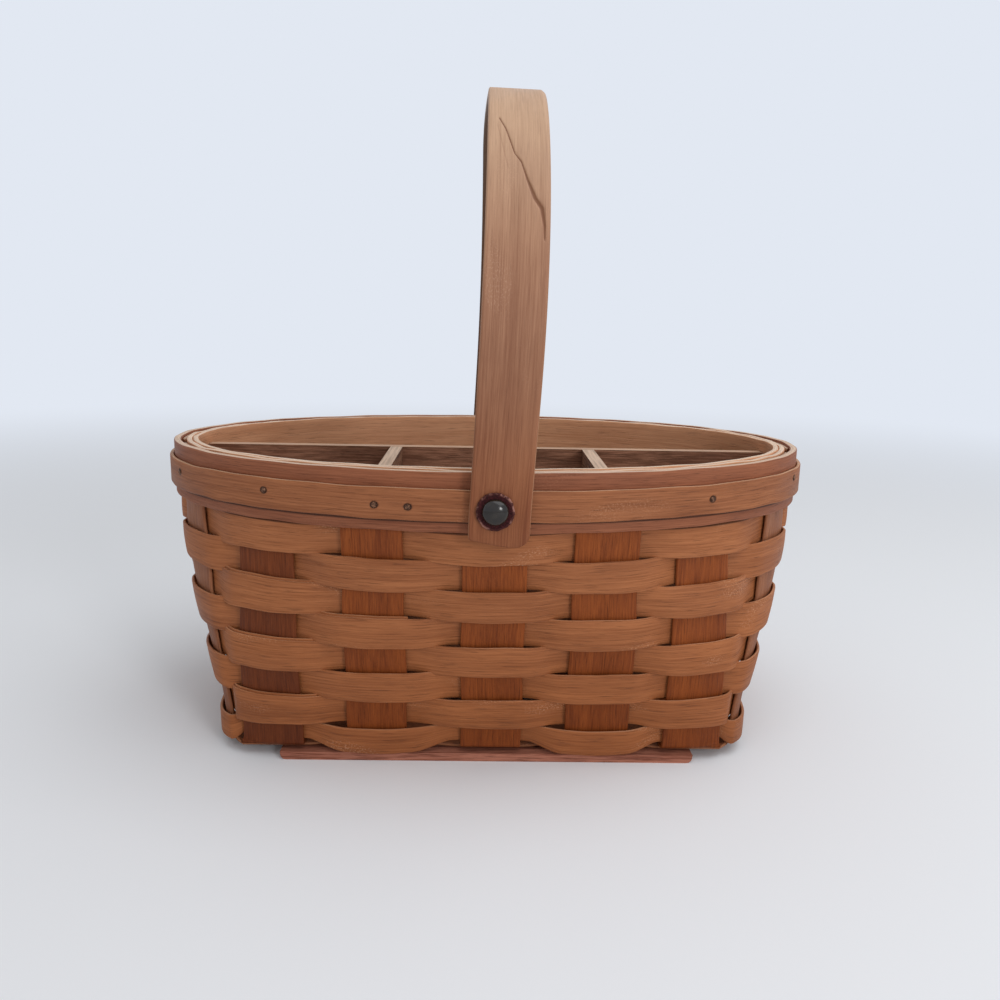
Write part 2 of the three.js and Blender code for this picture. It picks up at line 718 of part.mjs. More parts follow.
add('divider_long', longDivider(), dividerWood);
add('divider_cross_left', crossDivider(CROSS_DIVIDER_X[0]), dividerWood);
add('divider_cross_right', crossDivider(CROSS_DIVIDER_X[1]), dividerWood);
add('runner_front', runner(-1), runnerWood);
add('runner_back', runner(1), runnerWood);
add('handle', handle(), handleWood);
for (const [place, side] of [['front', -1], ['back', 1]]) {
  add(`rivet_${place}`, rivet(side), bronze);
  const washer = ringAlongY(WASHER_RADIUS, WASHER_START, WASHER_START + WASHER_THICK);
  add(`leather_washer_${place}`, atPivot(washer, side), leather);
  const burr = ringAlongY(BURR_RADIUS, BURR_END - BURR_THICK, BURR_END);
  add(`rivet_burr_${place}`, atPivot(burr, side), bronze);
}
BRADS.forEach((spot, index) => {
  add(`brad_${String(index + 1).padStart(2, '0')}`, brad(spot), steel);
});

export default caddy;
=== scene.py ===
import math

import bpy
import numpy as np
from mathutils import Matrix

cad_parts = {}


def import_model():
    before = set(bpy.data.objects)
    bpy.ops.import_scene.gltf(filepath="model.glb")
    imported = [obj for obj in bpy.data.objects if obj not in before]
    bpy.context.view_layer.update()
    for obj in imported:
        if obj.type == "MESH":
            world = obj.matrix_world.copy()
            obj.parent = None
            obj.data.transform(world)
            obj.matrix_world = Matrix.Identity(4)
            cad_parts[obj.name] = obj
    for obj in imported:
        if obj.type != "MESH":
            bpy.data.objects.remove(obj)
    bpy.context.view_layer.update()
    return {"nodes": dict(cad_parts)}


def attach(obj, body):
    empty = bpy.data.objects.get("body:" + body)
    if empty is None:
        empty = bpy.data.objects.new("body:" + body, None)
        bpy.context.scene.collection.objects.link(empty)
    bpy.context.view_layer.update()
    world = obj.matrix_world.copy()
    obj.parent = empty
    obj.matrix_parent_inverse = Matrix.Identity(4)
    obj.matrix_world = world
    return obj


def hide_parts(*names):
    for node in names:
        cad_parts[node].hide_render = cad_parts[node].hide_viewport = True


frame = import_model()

# Looks of a woven splint utensil caddy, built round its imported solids.
# Lengths are millimetres unless a comment says metres, and MM turns them into metres.
MM = 0.001

# Rim bands
RIM_TOP = 146.2
RIM_HALF_LENGTH = 162.7
RIM_HALF_WIDTH = 106.4
OUTER_BAND_THICK = 3.5
OUTER_BAND_BOTTOM = 119.4
BINDING_THICK = 2
BINDING_TOP = 139
BINDING_BOTTOM = 124.9
BINDING_GAP = 0.3
INNER_BAND_BOTTOM = 121
INNER_PLY_THICK = 2.95
INNER_FACE_LENGTH = 150.6
INNER_FACE_WIDTH = 94.3
INNER_PLY_PITCH = 3.05

# Splints and the wall's outline, half sizes of the splint mid surface
STAKES = 16
SPLINT_THICK = 1.5
SPLINT_WIDTH = 28
SPLINT_SHOWN_WIDTH = SPLINT_WIDTH - 0.4
SPLINT_TOP = 144.8
CROSS_SPLINT_X = [-102.4, -50.3, 3, 53.2, 101.5]
# How much wider each crosswise strip was split than the rest, and its step to the right
CROSS_SPLINT_WIDER = [3, 0.7, 1.2, 3, 2.4]
CROSS_SPLINT_STEP = [1.1, -0.3, 0.5, 0.5, -1]
LONG_SPLINT_Y = [-60, 0, 60]
END_STAKE_Y_BASE = 57.4
END_STAKE_Y_TOP = 40
END_STAKE_DRIFT = 1.5
BASE_HALF_LENGTH = 129.8
BASE_HALF_WIDTH = 77
STAKE_RIM_LENGTH = 158.0
STAKE_RIM_WIDTH = 101.7
BASE_CORNER_POWER = 8
CORNER_FADE = 2.2
FLARE_START = 0.05
FLARE_END = 0.92
BASE_LOW = 5.1
BASE_HIGH = 7.0
BEND_START = 9.5
BEND_REACH = 3.2

# Weaver rows
ROW_NAMES = "ABCDEFGH"
ROW_TOP_CENTRE = 111.6
ROW_PITCH = 14.15
ROW_THICK = 1.45
ROW_WIDTH = 15.2
ROW_ABOVE = 7.6
ROW_BELOW = 7.8
ROW_BELOW_SHORTER = 1.1
ROW_LIFT_EDGE = 2.1
ROW_LIFT_MIDDLE = 2.5
ROW_FLOOR_OUTSIDE = 3.6
ROW_FLOOR_AT_ENDS = 2.4
# Extra width below, near the basket's corners, with its place and spread in stakes from an end
CORNER_OVERLAP = 1.5
CORNER_PLACE = 1.5
CORNER_SPREAD = 0.3
LAST_ROW_SAG = 2.6
# How far along, in stakes from an outer one, the sag and the full lower width reach
SAG_REACH = 0.9
BELOW_REACH = 0.8
ROW_FLOOR_INSIDE = 9.9
# A row's lower edge stays above a floor that rises as the row goes inward: its share of
# that rise at no lift, the power of its curve, and how firmly it holds the edge
FLOOR_SHARE = 0.62
FLOOR_POWER = 0.9
FLOOR_FIRMNESS = 2
ROW_LOW_WAVE = 0.22
ROW_HIGH_WAVE = 0.2
ROW_CUP = 0.22
ROW_TWIST = 0.18
ROW_ROUND_OVER = 0.45
LAYER_FADE = 0.35
LAYER_THICK = 0.9
LAYER_SHIFT = 0.5
LAYER_RISE = 0.9
# Where each strip starts outside and ends inside, in stakes counted from the front left one
ROW_ENDS = {
    "A": (8.85, 26.2), "B": (9.85, 27.2), "C": (-0.85, 16.53), "D": (0.22, 17.3),
    "E": (-0.85, 16.48), "F": (7.85, 25.2), "G": (-0.85, 16.47), "H": (9.85, 27.2),
}

# Handle and its rivets
PIVOT_X = 3.2
PIVOT_Z = 131
HANDLE_WIDTH = 26
HANDLE_THICK = 4.5
HANDLE_SIDE_STEP = 2.05
HANDLE_LEAN = 0.029
HANDLE_BOW = 1.6
HANDLE_BOW_HEIGHT = 190
HANDLE_DROP = 15.5
HANDLE_FOOT_Y = 111.25
ARCH_RADIUS = 116.25
ARCH_CENTRE_Z = 199
WASHER_START = 113.8
WASHER_RADIUS = 8.1
WASHER_THICK = 1.4
WASHER_HOLE_RADIUS = 2.4
SHANK_RADIUS = 2
TAIL_RADIUS = 3.4
TAIL_START = 91.4
TAIL_END = 92.5
DOME_START = 115.3
DOME_RADIUS = 5.6
DOME_HEIGHT = 3.6

# Brads in the binding, the front ones as angles round the rim from +X and heights
FRONT_BRADS = [(206, 133.6), (233.2, 133.2), (253, 131), (258.2, 130.8), (307.6, 132), (336.5, 134.6)]
BRADS = FRONT_BRADS + [(degrees - 180, z) for degrees, z in FRONT_BRADS]

random = np.random.default_rng(20240611)


def blend(start, end, share):
    return start + (end - start) * share


def ease(share):
    t = np.clip(share, 0, 1)
    return t * t * (3 - 2 * t)


def wave(places, turns, size):
    """A smooth seeded wobble that repeats after each unit of places."""
    total = np.zeros_like(np.asarray(places, float))
    for turn in turns:
        phase = random.uniform(0, 2 * math.pi)
        total = total + np.sin(2 * math.pi * turn * np.asarray(places) + phase)
    return size * total / math.sqrt(len(turns))


# Wall of the basket: a table of places by height and by stake count
PLAN_STEPS = 1440
HALF_STAKE = SPLINT_WIDTH / 2
# What half a stake's width takes of the count from one stake to the next
STAKE_SHARE = 0.27
TABLE_PER_STAKE = 48
TABLE_LOW = 3.0
TABLE_STEP = 1.5
TABLE_LEVELS = 97
LAST_TABLE_LEVEL = TABLE_LEVELS - 1.001
NEIGHBOUR_STEP = 0.04


def oval(length, width, power, angle):
    """Points on an oval that gets squarer as power grows above 2."""
    c = np.cos(angle)
    s = np.sin(angle)
    x = length * np.sign(c) * np.abs(c) ** (2 / power)
    y = width * np.sign(s) * np.abs(s) ** (2 / power)
    return np.stack([x, y], -1)


def outline_at(z):
    """Half length, half width and squareness of the wall at one height."""
    share = min(max(z / OUTER_BAND_BOTTOM, 0), 1)
    flare = float(ease((share - FLARE_START) / (FLARE_END - FLARE_START)))
    length = blend(BASE_HALF_LENGTH, STAKE_RIM_LENGTH, flare)
    width = blend(BASE_HALF_WIDTH, STAKE_RIM_WIDTH, share)
    power = 2 + (BASE_CORNER_POWER - 2) * (1 - share) ** CORNER_FADE
    return length, width, power


def stake_runs(z, line, run):
    """Running length to each stake's centre at one height."""
    quarter = PLAN_STEPS // 4
    rise = min(z / ROW_TOP_CENTRE, 1) ** END_STAKE_DRIFT
    end_y = blend(END_STAKE_Y_BASE, END_STAKE_Y_TOP, rise)
    front = slice(0, 2 * quarter + 1)
    right = slice(quarter, 3 * quarter + 1)
    back = slice(4 * quarter, 2 * quarter - 1, -1)
    left_back = slice(4 * quarter, 3 * quarter - 1, -1)
    left_front = slice(quarter, None, -1)
    runs = list(np.interp(CROSS_SPLINT_X, line[front, 0], run[front]))
    runs += list(np.interp([-end_y, 0, end_y], line[right, 1], run[right]))
    runs += list(np.interp(CROSS_SPLINT_X[::-1], line[back, 0], run[back]))
    runs.append(float(np.interp(end_y, line[left_back, 1], run[left_back])))
    runs.append(run[-1])
    runs.append(float(np.interp(-end_y, line[left_front, 1], run[left_front])) + run[-1])
    return runs


def wall_row(z):
    """Places round the wall at one height, by stake count."""
    length, width, power = outline_at(z)
    angle = np.linspace(math.pi, 3 * math.pi, PLAN_STEPS + 1)
    line = oval(length, width, power, angle)
    run = np.concatenate([[0], np.cumsum(np.hypot(*np.diff(line, axis=0).T))])
    runs = stake_runs(z, line, run)
    knots = []
    places = []
    for stake, centre in enumerate(runs + [runs[0] + run[-1]]):
        for side in (-1, 0, 1):
            knots.append(stake + side * STAKE_SHARE)
            places.append(centre + side * HALF_STAKE)
    counts = np.arange(STAKES * TABLE_PER_STAKE + 1) / TABLE_PER_STAKE
    wanted = np.interp(counts, knots, places) % run[-1]
    x = np.interp(wanted, run, line[:, 0])
    y = np.interp(wanted, run, line[:, 1])
    return np.stack([x, y], -1)


WALL = np.array([wall_row(TABLE_LOW + TABLE_STEP * k) for k in range(TABLE_LEVELS)])


def wall(count, z):
    """Place of the splints' mid surface at a stake count and a height."""
    column = (np.asarray(count) % STAKES) * TABLE_PER_STAKE
    level = np.clip((np.asarray(z) - TABLE_LOW) / TABLE_STEP, 0, LAST_TABLE_LEVEL)
    c = np.minimum(column.astype(int), STAKES * TABLE_PER_STAKE - 1)
    r = level.astype(int)
    u = (column - c)[..., None]
    v = (level - r)[..., None]
    low = WALL[r, c] * (1 - u) + WALL[r, c + 1] * u
    high = WALL[r + 1, c] * (1 - u) + WALL[r + 1, c + 1] * u
    return low * (1 - v) + high * v


def wall_place(count, z, lift):
    """The same place moved outward by lift."""
    here = wall(count, z)
    before = wall(np.asarray(count) - NEIGHBOUR_STEP, z)
    along = wall(np.asarray(count) + NEIGHBOUR_STEP, z) - before
    along = along / np.linalg.norm(along, axis=-1, keepdims=True)
    out = np.stack([along[..., 1], -along[..., 0]], -1)
    flat = here + out * np.asarray(lift)[..., None]
    return np.concatenate([flat, np.asarray(z)[..., None]], -1)


# Mesh building
ROUND_OVER = 0.5
NEAR_EDGE = [0, 0.15, 0.5]
# Each strip takes its grain from a place of its own, and its cut ends from another
GRAIN_SPREAD = 4000
END_GRAIN_SHIFT = 900


def column_places(width, inner):
    """Places across a strip, closer together at its two rounded edges."""
    half = width / 2
    start = [-half + d for d in NEAR_EDGE]
    middle = list(np.linspace(-half + NEAR_EDGE[-1], half - NEAR_EDGE[-1], inner + 2)[1:-1])
    return np.array(start + middle + [-p for p in reversed(start)])


def edge_half(places, width, thick, radius=ROUND_OVER):
    """Half thickness across a strip whose edges are rounded."""
    near = np.clip(radius - (width / 2 - np.abs(places)), 0, radius)
    return thick / 2 - radius + np.sqrt(radius ** 2 - near ** 2)


def make_object(name, points, faces, uvs, attributes):
    mesh = bpy.data.meshes.new(name)
    mesh.from_pydata((np.asarray(points) * MM).tolist(), [], faces)
    mesh.polygons.foreach_set("use_smooth", [True] * len(mesh.polygons))
    if uvs is not None:
        layer = mesh.uv_layers.new(name="grain")
        layer.data.foreach_set("uv", (np.asarray(uvs) * MM).ravel().astype(np.float32))
    for key, values in attributes.items():
        attribute = mesh.attributes.new(key, "FLOAT", "POINT")
        attribute.data.foreach_set("value", np.asarray(values, np.float32).ravel())
    mesh.update()
    piece = bpy.data.objects.new(name, mesh)
    bpy.context.scene.collection.objects.link(piece)
    return piece


def strip(name, grid, out_half, in_half, closed=False, cut_top=False, cut_ends=False, mark=None):
    """A slab round a grid of mid surface points: stations along, columns across.

    Its UV layer holds the running length along and the way round, in metres."""
    count, columns = grid.shape[:2]
    if closed:
        along = np.roll(grid, -1, 0) - np.roll(grid, 1, 0)
    else:
        along = np.gradient(grid, axis=0)
    across = np.gradient(grid, axis=1)
    normal = np.cross(along, across)
    normal /= np.linalg.norm(normal, axis=-1, keepdims=True)
    out_half = np.broadcast_to(out_half, (count, columns))
    in_half = np.broadcast_to(in_half, (count, columns))
    outer = grid + normal * out_half[..., None]
    inner = grid - normal * in_half[..., None]
    ring = np.concatenate([outer, inner[:, ::-1]], 1)
    size = 2 * columns
    steps = np.linalg.norm(np.diff(grid[:, columns // 2], axis=0), axis=-1)
    run = np.concatenate([[0], np.cumsum(steps)])
    loop = np.concatenate([ring[0], ring[:1, 0]])
    way = np.concatenate([[0], np.cumsum(np.linalg.norm(np.diff(loop, axis=0), axis=-1))])
    shift = random.uniform(0, GRAIN_SPREAD, 2)
    faces = []
    uvs = []
    last_gap = np.linalg.norm(grid[0, columns // 2] - grid[-1, columns // 2])
    for i in range(count if closed else count - 1):
        after = (i + 1) % count
        u0 = run[i] + shift[0]
        u1 = (run[i + 1] if i + 1 < count else run[-1] + last_gap) + shift[0]
        for k in range(size):
            m = (k + 1) % size
            faces.append((i * size + k, after * size + k, after * size + m, i * size + m))
            v0 = way[k] + shift[1]
            v1 = way[k + 1] + shift[1]
            uvs += [(u0, v0), (u1, v0), (u1, v1), (u0, v1)]
    if not closed:
        for base, u, order in ((0, run[0], 1), ((count - 1) * size, run[-1], -1)):
            for c in range(columns - 1):
                far = size - 1 - c
                quad = [base + c, base + c + 1, base + far - 1, base + far][::order]
                faces.append(tuple(quad))
                uvs += [(u + shift[0] + END_GRAIN_SHIFT, way[k - base] + shift[1]) for k in quad]
    edge = np.zeros((count, size))
    edge[:, [0, columns - 1, columns, size - 1]] = 1
    cut = np.zeros((count, size))
    if cut_top:
        cut[:, [columns - 1, columns]] = 1
    if cut_ends:
        cut[[0, -1], :] = 1
    marks = np.zeros((count, size))
    if mark is not None:
        marks[:, :columns] = mark(outer)
    attributes = {"edge": edge, "cut": cut, "mark": marks}
    return make_object(name, ring.reshape(-1, 3), faces, uvs, attributes)


def lathe_y(name, outline, steps, side, wobble=None):
    """A shape turned about the pivot line. The outline lists radius and distance out."""
    points = []
    edge = []
    for radius, out, is_edge in outline:
        for k in range(steps):
            angle = 2 * math.pi * k / steps
            r = radius * (1 + (wobble[k] * is_edge if wobble is not None else 0))
            points.append((PIVOT_X + r * math.cos(angle), side * out, PIVOT_Z + r * math.sin(angle)))
            edge.append(is_edge)
    faces = []
    rings = len(outline)
    for i in range(rings - 1):
        for k in range(steps):
            m = (k + 1) % steps
            quad = (i * steps + k, i * steps + m, (i + 1) * steps + m, (i + 1) * steps + k)
            faces.append(quad if side > 0 else quad[::-1])
    for base, flip in ((0, side > 0), ((rings - 1) * steps, side < 0)):
        cap = tuple(range(base, base + steps))
        faces.append(cap[::-1] if flip else cap)
    return make_object(name, points, faces, None, {"edge": edge})


# Material nodes
WOOD_SHEEN = 0.22
STAKE_SHEEN = 0.15
# Painted shadow lines where one band laps over the next: half thickness and heights in metres
LAP_SHADOW_HALF = 0.0005
BINDING_LAP_SHADOW = 0.1242
BAND_LAP_SHADOW = 0.1187


def rgb(red, green, blue):
    """A colour given as 0 to 255 on screen, as the linear value that nodes use."""
    linear = []
    for value in (red, green, blue):
        s = value / 255
        linear.append(s / 12.92 if s <= 0.04045 else ((s + 0.055) / 1.055) ** 2.4)
    return (*linear, 1)


class Shader:
    """Short calls that add nodes to one material and link them."""

    def __init__(self, name):
        self.material = bpy.data.materials.new(name)
        self.material.use_nodes = True
        self.tree = self.material.node_tree
        self.tree.nodes.clear()
        self.surface = self.tree.nodes.new("ShaderNodeBsdfPrincipled")
        output = self.tree.nodes.new("ShaderNodeOutputMaterial")
        self.tree.links.new(self.surface.outputs["BSDF"], output.inputs["Surface"])

    def put(self, socket, value):
        if isinstance(value, bpy.types.NodeSocket):
            self.tree.links.new(value, socket)
        else:
            socket.default_value = value

    def grain(self, along, across):
        """The strip's own UV, scaled along and across the grain."""
        node = self.tree.nodes.new("ShaderNodeUVMap")
        node.uv_map = "grain"
        return self.scaled(node.outputs["UV"], (along, across, 1))

    def place(self, scale):
        node = self.tree.nodes.new("ShaderNodeTexCoord")
        return self.scaled(node.outputs["Object"], scale)

    def scaled(self, vector, scale):
        node = self.tree.nodes.new("ShaderNodeMapping")
        self.put(node.inputs["Vector"], vector)
        node.inputs["Scale"].default_value = scale
        return node.outputs["Vector"]

    def noise(self, vector, detail=3, rough=0.55, distort=0):
        node = self.tree.nodes.new("ShaderNodeTexNoise")
        self.put(node.inputs["Vector"], vector)
        node.inputs["Scale"].default_value = 1
        node.inputs["Detail"].default_value = detail
        node.inputs["Roughness"].default_value = rough
        node.inputs["Distortion"].default_value = distort
        return node.outputs["Fac"]

    def math(self, kind, a, b=0.0):
        node = self.tree.nodes.new("ShaderNodeMath")
        node.operation = kind
        self.put(node.inputs[0], a)
        self.put(node.inputs[1], b)
        return node.outputs[0]

    def span(self, value, low, high, to_low=0.0, to_high=1.0):
        node = self.tree.nodes.new("ShaderNodeMapRange")
        node.interpolation_type = "SMOOTHSTEP"
        self.put(node.inputs["Value"], value)
        node.inputs["From Min"].default_value = low
        node.inputs["From Max"].default_value = high
        node.inputs["To Min"].default_value = to_low
        node.inputs["To Max"].default_value = to_high
        return node.outputs["Result"]

    def mix(self, share, a, b):
        node = self.tree.nodes.new("ShaderNodeMix")
        node.data_type = "RGBA"
        self.put(node.inputs[0], share)
        self.put(node.inputs[6], a)
        self.put(node.inputs[7], b)
        return node.outputs[2]

    def named(self, attribute):
        node = self.tree.nodes.new("ShaderNodeAttribute")
        node.attribute_name = attribute
        return node.outputs["Fac"]

    def axis(self, vector, index):
        node = self.tree.nodes.new("ShaderNodeSeparateXYZ")
        self.put(node.inputs[0], vector)
        return node.outputs[index]

    def normal_z(self):
        node = self.tree.nodes.new("ShaderNodeNewGeometry")
        return self.axis(node.outputs["Normal"], 2)

    def bump(self, height, strength, distance):
        node = self.tree.nodes.new("ShaderNodeBump")
        node.inputs["Strength"].default_value = strength
        node.inputs["Distance"].default_value = distance
        self.put(node.inputs["Height"], height)
        self.put(self.surface.inputs["Normal"], node.outputs["Normal"])

    def finish(self, colour, roughness, metallic=0.0, specular=0.5):
        self.put(self.surface.inputs["Base Color"], colour)
        self.put(self.surface.inputs["Roughness"], roughness)
        self.surface.inputs["Metallic"].default_value = metallic
        self.surface.inputs["Specular IOR Level"].default_value = specular
        return self.material


# Noise cells per metre, along the grain and across it
STREAK_CELLS = (4, 170)
FIBRE_CELLS_ACROSS = 1250
MOTTLE_CELLS = (19, 42)
PORE_CELLS = (70, 2100)
# Parts of the wood's tone, and the half range in which it goes from dark to light
STREAK_PART = 0.24
FIBRE_PART = 0.52
MOTTLE_PART = 0.24
TONE_HALF_RANGE = 0.12


class Grain:
    """Streaks, fibres, pores and slow mottling of one wood, in its own coordinates."""

    def __init__(self, s, coordinates, contrast, fibre_cells, pore_depth=0.55):
        self.s = s
        streak = s.noise(coordinates(*STREAK_CELLS), 4, 0.6, distort=0.15)
        fibre = s.noise(coordinates(fibre_cells, FIBRE_CELLS_ACROSS), 4, 0.7)
        self.mottle = s.noise(coordinates(*MOTTLE_CELLS))
        tone = s.math("MULTIPLY", streak, STREAK_PART)
        tone = s.math("ADD", tone, s.math("MULTIPLY", fibre, FIBRE_PART))
        tone = s.math("ADD", tone, s.math("MULTIPLY", self.mottle, MOTTLE_PART))
        half = TONE_HALF_RANGE / contrast
        self.tone = s.span(tone, 0.5 - half, 0.5 + half)
        pores = s.noise(coordinates(*PORE_CELLS), 3, 0.6)
        self.pores = s.span(pores, 0.56, 0.68, 0.0, pore_depth)
        height = s.math("ADD", s.math("MULTIPLY", streak, 0.5), s.math("MULTIPLY", fibre, 0.7))
        self.height = s.math("SUBTRACT", height, s.math("MULTIPLY", self.pores, 0.7))

    def colour(self, dark, light):
        base = self.s.mix(self.tone, dark, light)
        return self.s.mix(self.pores, base, shade(dark, 0.42))


def shade(colour, share):
    return tuple(share * part for part in colour[:3]) + (1,)


def scuffs(s, coordinates, colour, pale, amount):
    """Small pale rubbed specks, gathered in a few patches."""
    speck = s.span(s.noise(coordinates(1000, 1500), 2, 0.7), 0.5, 0.68)
    patch = s.span(s.noise(coordinates(17, 48), 2, 0.5), 0.57, 0.68)
    share = s.math("MULTIPLY", s.math("MULTIPLY", speck, patch), amount)
    return s.mix(share, colour, pale)


DARK_STAIN = rgb(38, 20, 13)
# Height in metres from which the wood has its upper tone only
LOW_TONE_HEIGHT = 0.12


def strip_wood(name, dark, light, edge, *, contrast, scuff, cut=None, rough=0.55, low=None,
               fibre_cells=26, sheen=WOOD_SHEEN, lap_shadow_height=None):
    """Oiled splint: grain along the strip, rubbed edges partly lit by a painted highlight, pale cut
    top, dark marks and painted shadow under laps.

    The pair of colours in low takes over toward the basket's base."""
    s = Shader(name)
    grain = Grain(s, s.grain, contrast, fibre_cells)
    colour = grain.colour(dark, light)
    if low is not None:
        depth = s.span(s.axis(s.place((1, 1, 1)), 2), 0.0, LOW_TONE_HEIGHT, 1.0, 0.0)
        colour = s.mix(depth, colour, grain.colour(*low))
    colour = scuffs(s, s.grain, colour, edge, scuff)
    # Pale edges: partly rubbed wear, partly a painted highlight along the strip's edges.
    wear_and_highlight = s.math("MULTIPLY", s.named("edge"), s.span(grain.mottle, 0.35, 0.62, 0.15, 0.75))
    colour = s.mix(wear_and_highlight, colour, edge)
    if cut is not None:
        lines = s.noise(s.grain(60, 1300), 3, 0.6)
        cut_colour = s.mix(s.span(lines, 0.36, 0.62), shade(cut, 0.74), cut)
        colour = s.mix(s.span(s.named("cut"), 0.5, 0.95), colour, cut_colour)
    # Painted shadow: a dark line at the height where the piece above laps over this one.
    if lap_shadow_height is not None:
        level = s.axis(s.place((1, 1, 1)), 2)
        aside = s.math("ABSOLUTE", s.math("SUBTRACT", level, lap_shadow_height))
        shadow = s.span(aside, 0.3 * LAP_SHADOW_HALF, 1.5 * LAP_SHADOW_HALF, 0.85, 0.0)
        colour = s.mix(shadow, colour, shade(dark, 0.2))
    stain = s.named("mark")
    colour = s.mix(s.span(stain, 0.05, 0.75, 0.0, 0.93), colour, DARK_STAIN)
    height = s.math("SUBTRACT", grain.height, s.math("MULTIPLY", stain, 1.6))
    s.bump(height, 0.5, 0.0004)
    roughness = s.span(grain.mottle, 0.3, 0.7, rough - 0.09, rough + 0.12)
    return s.finish(colour, roughness, specular=sheen)


BOARD_CONTRAST = 1.3
BOARD_FIBRE_CELLS = 60
BOARD_ROUGHNESS = 0.7


def board_wood(name, stretch, dark, light, top):
    """Sawn wood for straight pieces, grain along the axis that stretch marks with 1."""
    s = Shader(name)

    def coordinates(along, across):
        return s.place(tuple(along if part else across for part in stretch))

    grain = Grain(s, coordinates, BOARD_CONTRAST, BOARD_FIBRE_CELLS)
    colour = grain.colour(dark, light)
    if top is not None:
        facing = s.span(s.normal_z(), 0.75, 0.95)
        lines = s.noise(coordinates(30, 900), 3, 0.6)
        pale = s.mix(s.span(lines, 0.35, 0.65), shade(top, 0.68), top)
        colour = s.mix(facing, colour, pale)
    s.bump(grain.height, 0.6, 0.0005)
    roughness = s.span(grain.mottle, 0.3, 0.7, BOARD_ROUGHNESS - 0.08, BOARD_ROUGHNESS + 0.1)
    return s.finish(colour, roughness, specular=WOOD_SHEEN)


# The weavers carry a painted shadow line under the outer band.
WEAVER_WOOD = strip_wood(
    "weaver_splint_wood", rgb(133, 75, 41), rgb(180, 114, 72), rgb(200, 147, 112),
    low=(rgb(125, 68, 33), rgb(172, 104, 60)), scuff=0.8, contrast=0.65, lap_shadow_height=BAND_LAP_SHADOW,
)
STAKE_WOOD = strip_wood(
    "stake_splint_wood", rgb(110, 51, 22), rgb(161, 86, 40), rgb(152, 86, 46),
    cut=rgb(206, 172, 146), scuff=0.2, low=(rgb(97, 42, 14), rgb(142, 72, 29)), fibre_cells=60,
    contrast=0.6, sheen=STAKE_SHEEN,
)
# Paler copy of the stake wood: partly the end splints' own tone, partly painted light on the end
# walls.
END_STAKE_WOOD = strip_wood(
    "end_stake_splint_wood", rgb(120, 68, 42), rgb(166, 109, 75), rgb(172, 118, 84),
    cut=rgb(206, 172, 146), scuff=0.4, low=(rgb(104, 56, 32), rgb(146, 90, 58)), fibre_cells=60,
    contrast=0.7,
)
DARK_STAKE_WOOD = strip_wood(
    "dark_stake_splint_wood", rgb(88, 40, 18), rgb(136, 71, 37), rgb(128, 72, 42),
    cut=rgb(206, 172, 146), scuff=0.2, low=(rgb(78, 33, 13), rgb(118, 59, 29)), fibre_cells=60,
    contrast=0.6, sheen=STAKE_SHEEN,
)
# The outer band carries a painted shadow line under the binding.
OUTER_BAND_WOOD = strip_wood(
    "outer_band_wood", rgb(120, 67, 43), rgb(160, 99, 69), rgb(168, 112, 82),
    cut=rgb(220, 190, 166), scuff=0.3, contrast=0.65, lap_shadow_height=BINDING_LAP_SHADOW,
)
BINDING_WOOD = strip_wood(
    "binding_wood", rgb(124, 70, 40), rgb(170, 108, 70), rgb(196, 146, 110),
    cut=rgb(206, 164, 132), scuff=0.45, contrast=0.7,
)
# Paler than the other bands: partly the wood's own tone, partly painted light that lifts the shaded
# inside of the rim.
INNER_BAND_WOOD = strip_wood(
    "inner_band_wood", rgb(181, 124, 88), rgb(210, 155, 118), rgb(216, 172, 138),
    cut=rgb(232, 204, 180), rough=0.6, scuff=0.2, contrast=0.7,
)
LONG_DIVIDER_WOOD = board_wood(
    "long_divider_wood", (1, 0, 0), rgb(106, 68, 49), rgb(164, 116, 91), rgb(206, 168, 140),
)
CROSS_DIVIDER_WOOD = board_wood(
    "cross_divider_wood", (0, 1, 0), rgb(92, 58, 40), rgb(156, 112, 86), rgb(216, 186, 162),
)
RUNNER_WOOD = board_wood(
    "runner_wood", (1, 0, 0), rgb(122, 68, 50), rgb(176, 114, 92), None,
)


def handle_wood():
    """Smooth bent strip, paler at the crown of the arch partly as painted light, redder at its feet,
    with painted shade on its inner face.
    """
    s = Shader("handle_wood")
    grain = Grain(s, s.grain, 0.75, 30, 0.2)
    crown_share = s.named("crown")
    colour = grain.colour(rgb(141, 95, 71), rgb(174, 128, 100))
    # Paler crown: partly the wood's own tone, partly painted light on the top of the arch, which
    # faces up.
    crown = grain.colour(rgb(184, 149, 119), rgb(210, 177, 147))
    colour = s.mix(s.span(crown_share, 0.45, 1.0, 0.0, 0.8), colour, crown)
    foot = grain.colour(rgb(117, 62, 35), rgb(151, 93, 59))
    colour = s.mix(s.span(crown_share, 0.5, -0.05), colour, foot)
    colour = scuffs(s, s.grain, colour, rgb(204, 164, 138), 0.3)
    # Pale edges: partly rubbed wear, partly a painted highlight.
    wear_and_highlight = s.math("MULTIPLY", s.named("edge"), s.span(grain.mottle, 0.35, 0.6, 0.2, 0.7))
    colour = s.mix(wear_and_highlight, colour, rgb(190, 146, 114))
    # Painted shade on the strip's inner face.
    colour = s.mix(s.math("MULTIPLY", s.named("inside"), 0.75), colour, rgb(66, 42, 30))
    stain = s.named("mark")
    colour = s.mix(s.span(stain, 0.1, 1.0, 0.0, 0.85), colour, rgb(112, 68, 42))
    s.bump(s.math("SUBTRACT", grain.height, stain), 0.35, 0.0003)
    return s.finish(colour, s.span(grain.mottle, 0.3, 0.7, 0.42, 0.6), specular=WOOD_SHEEN)


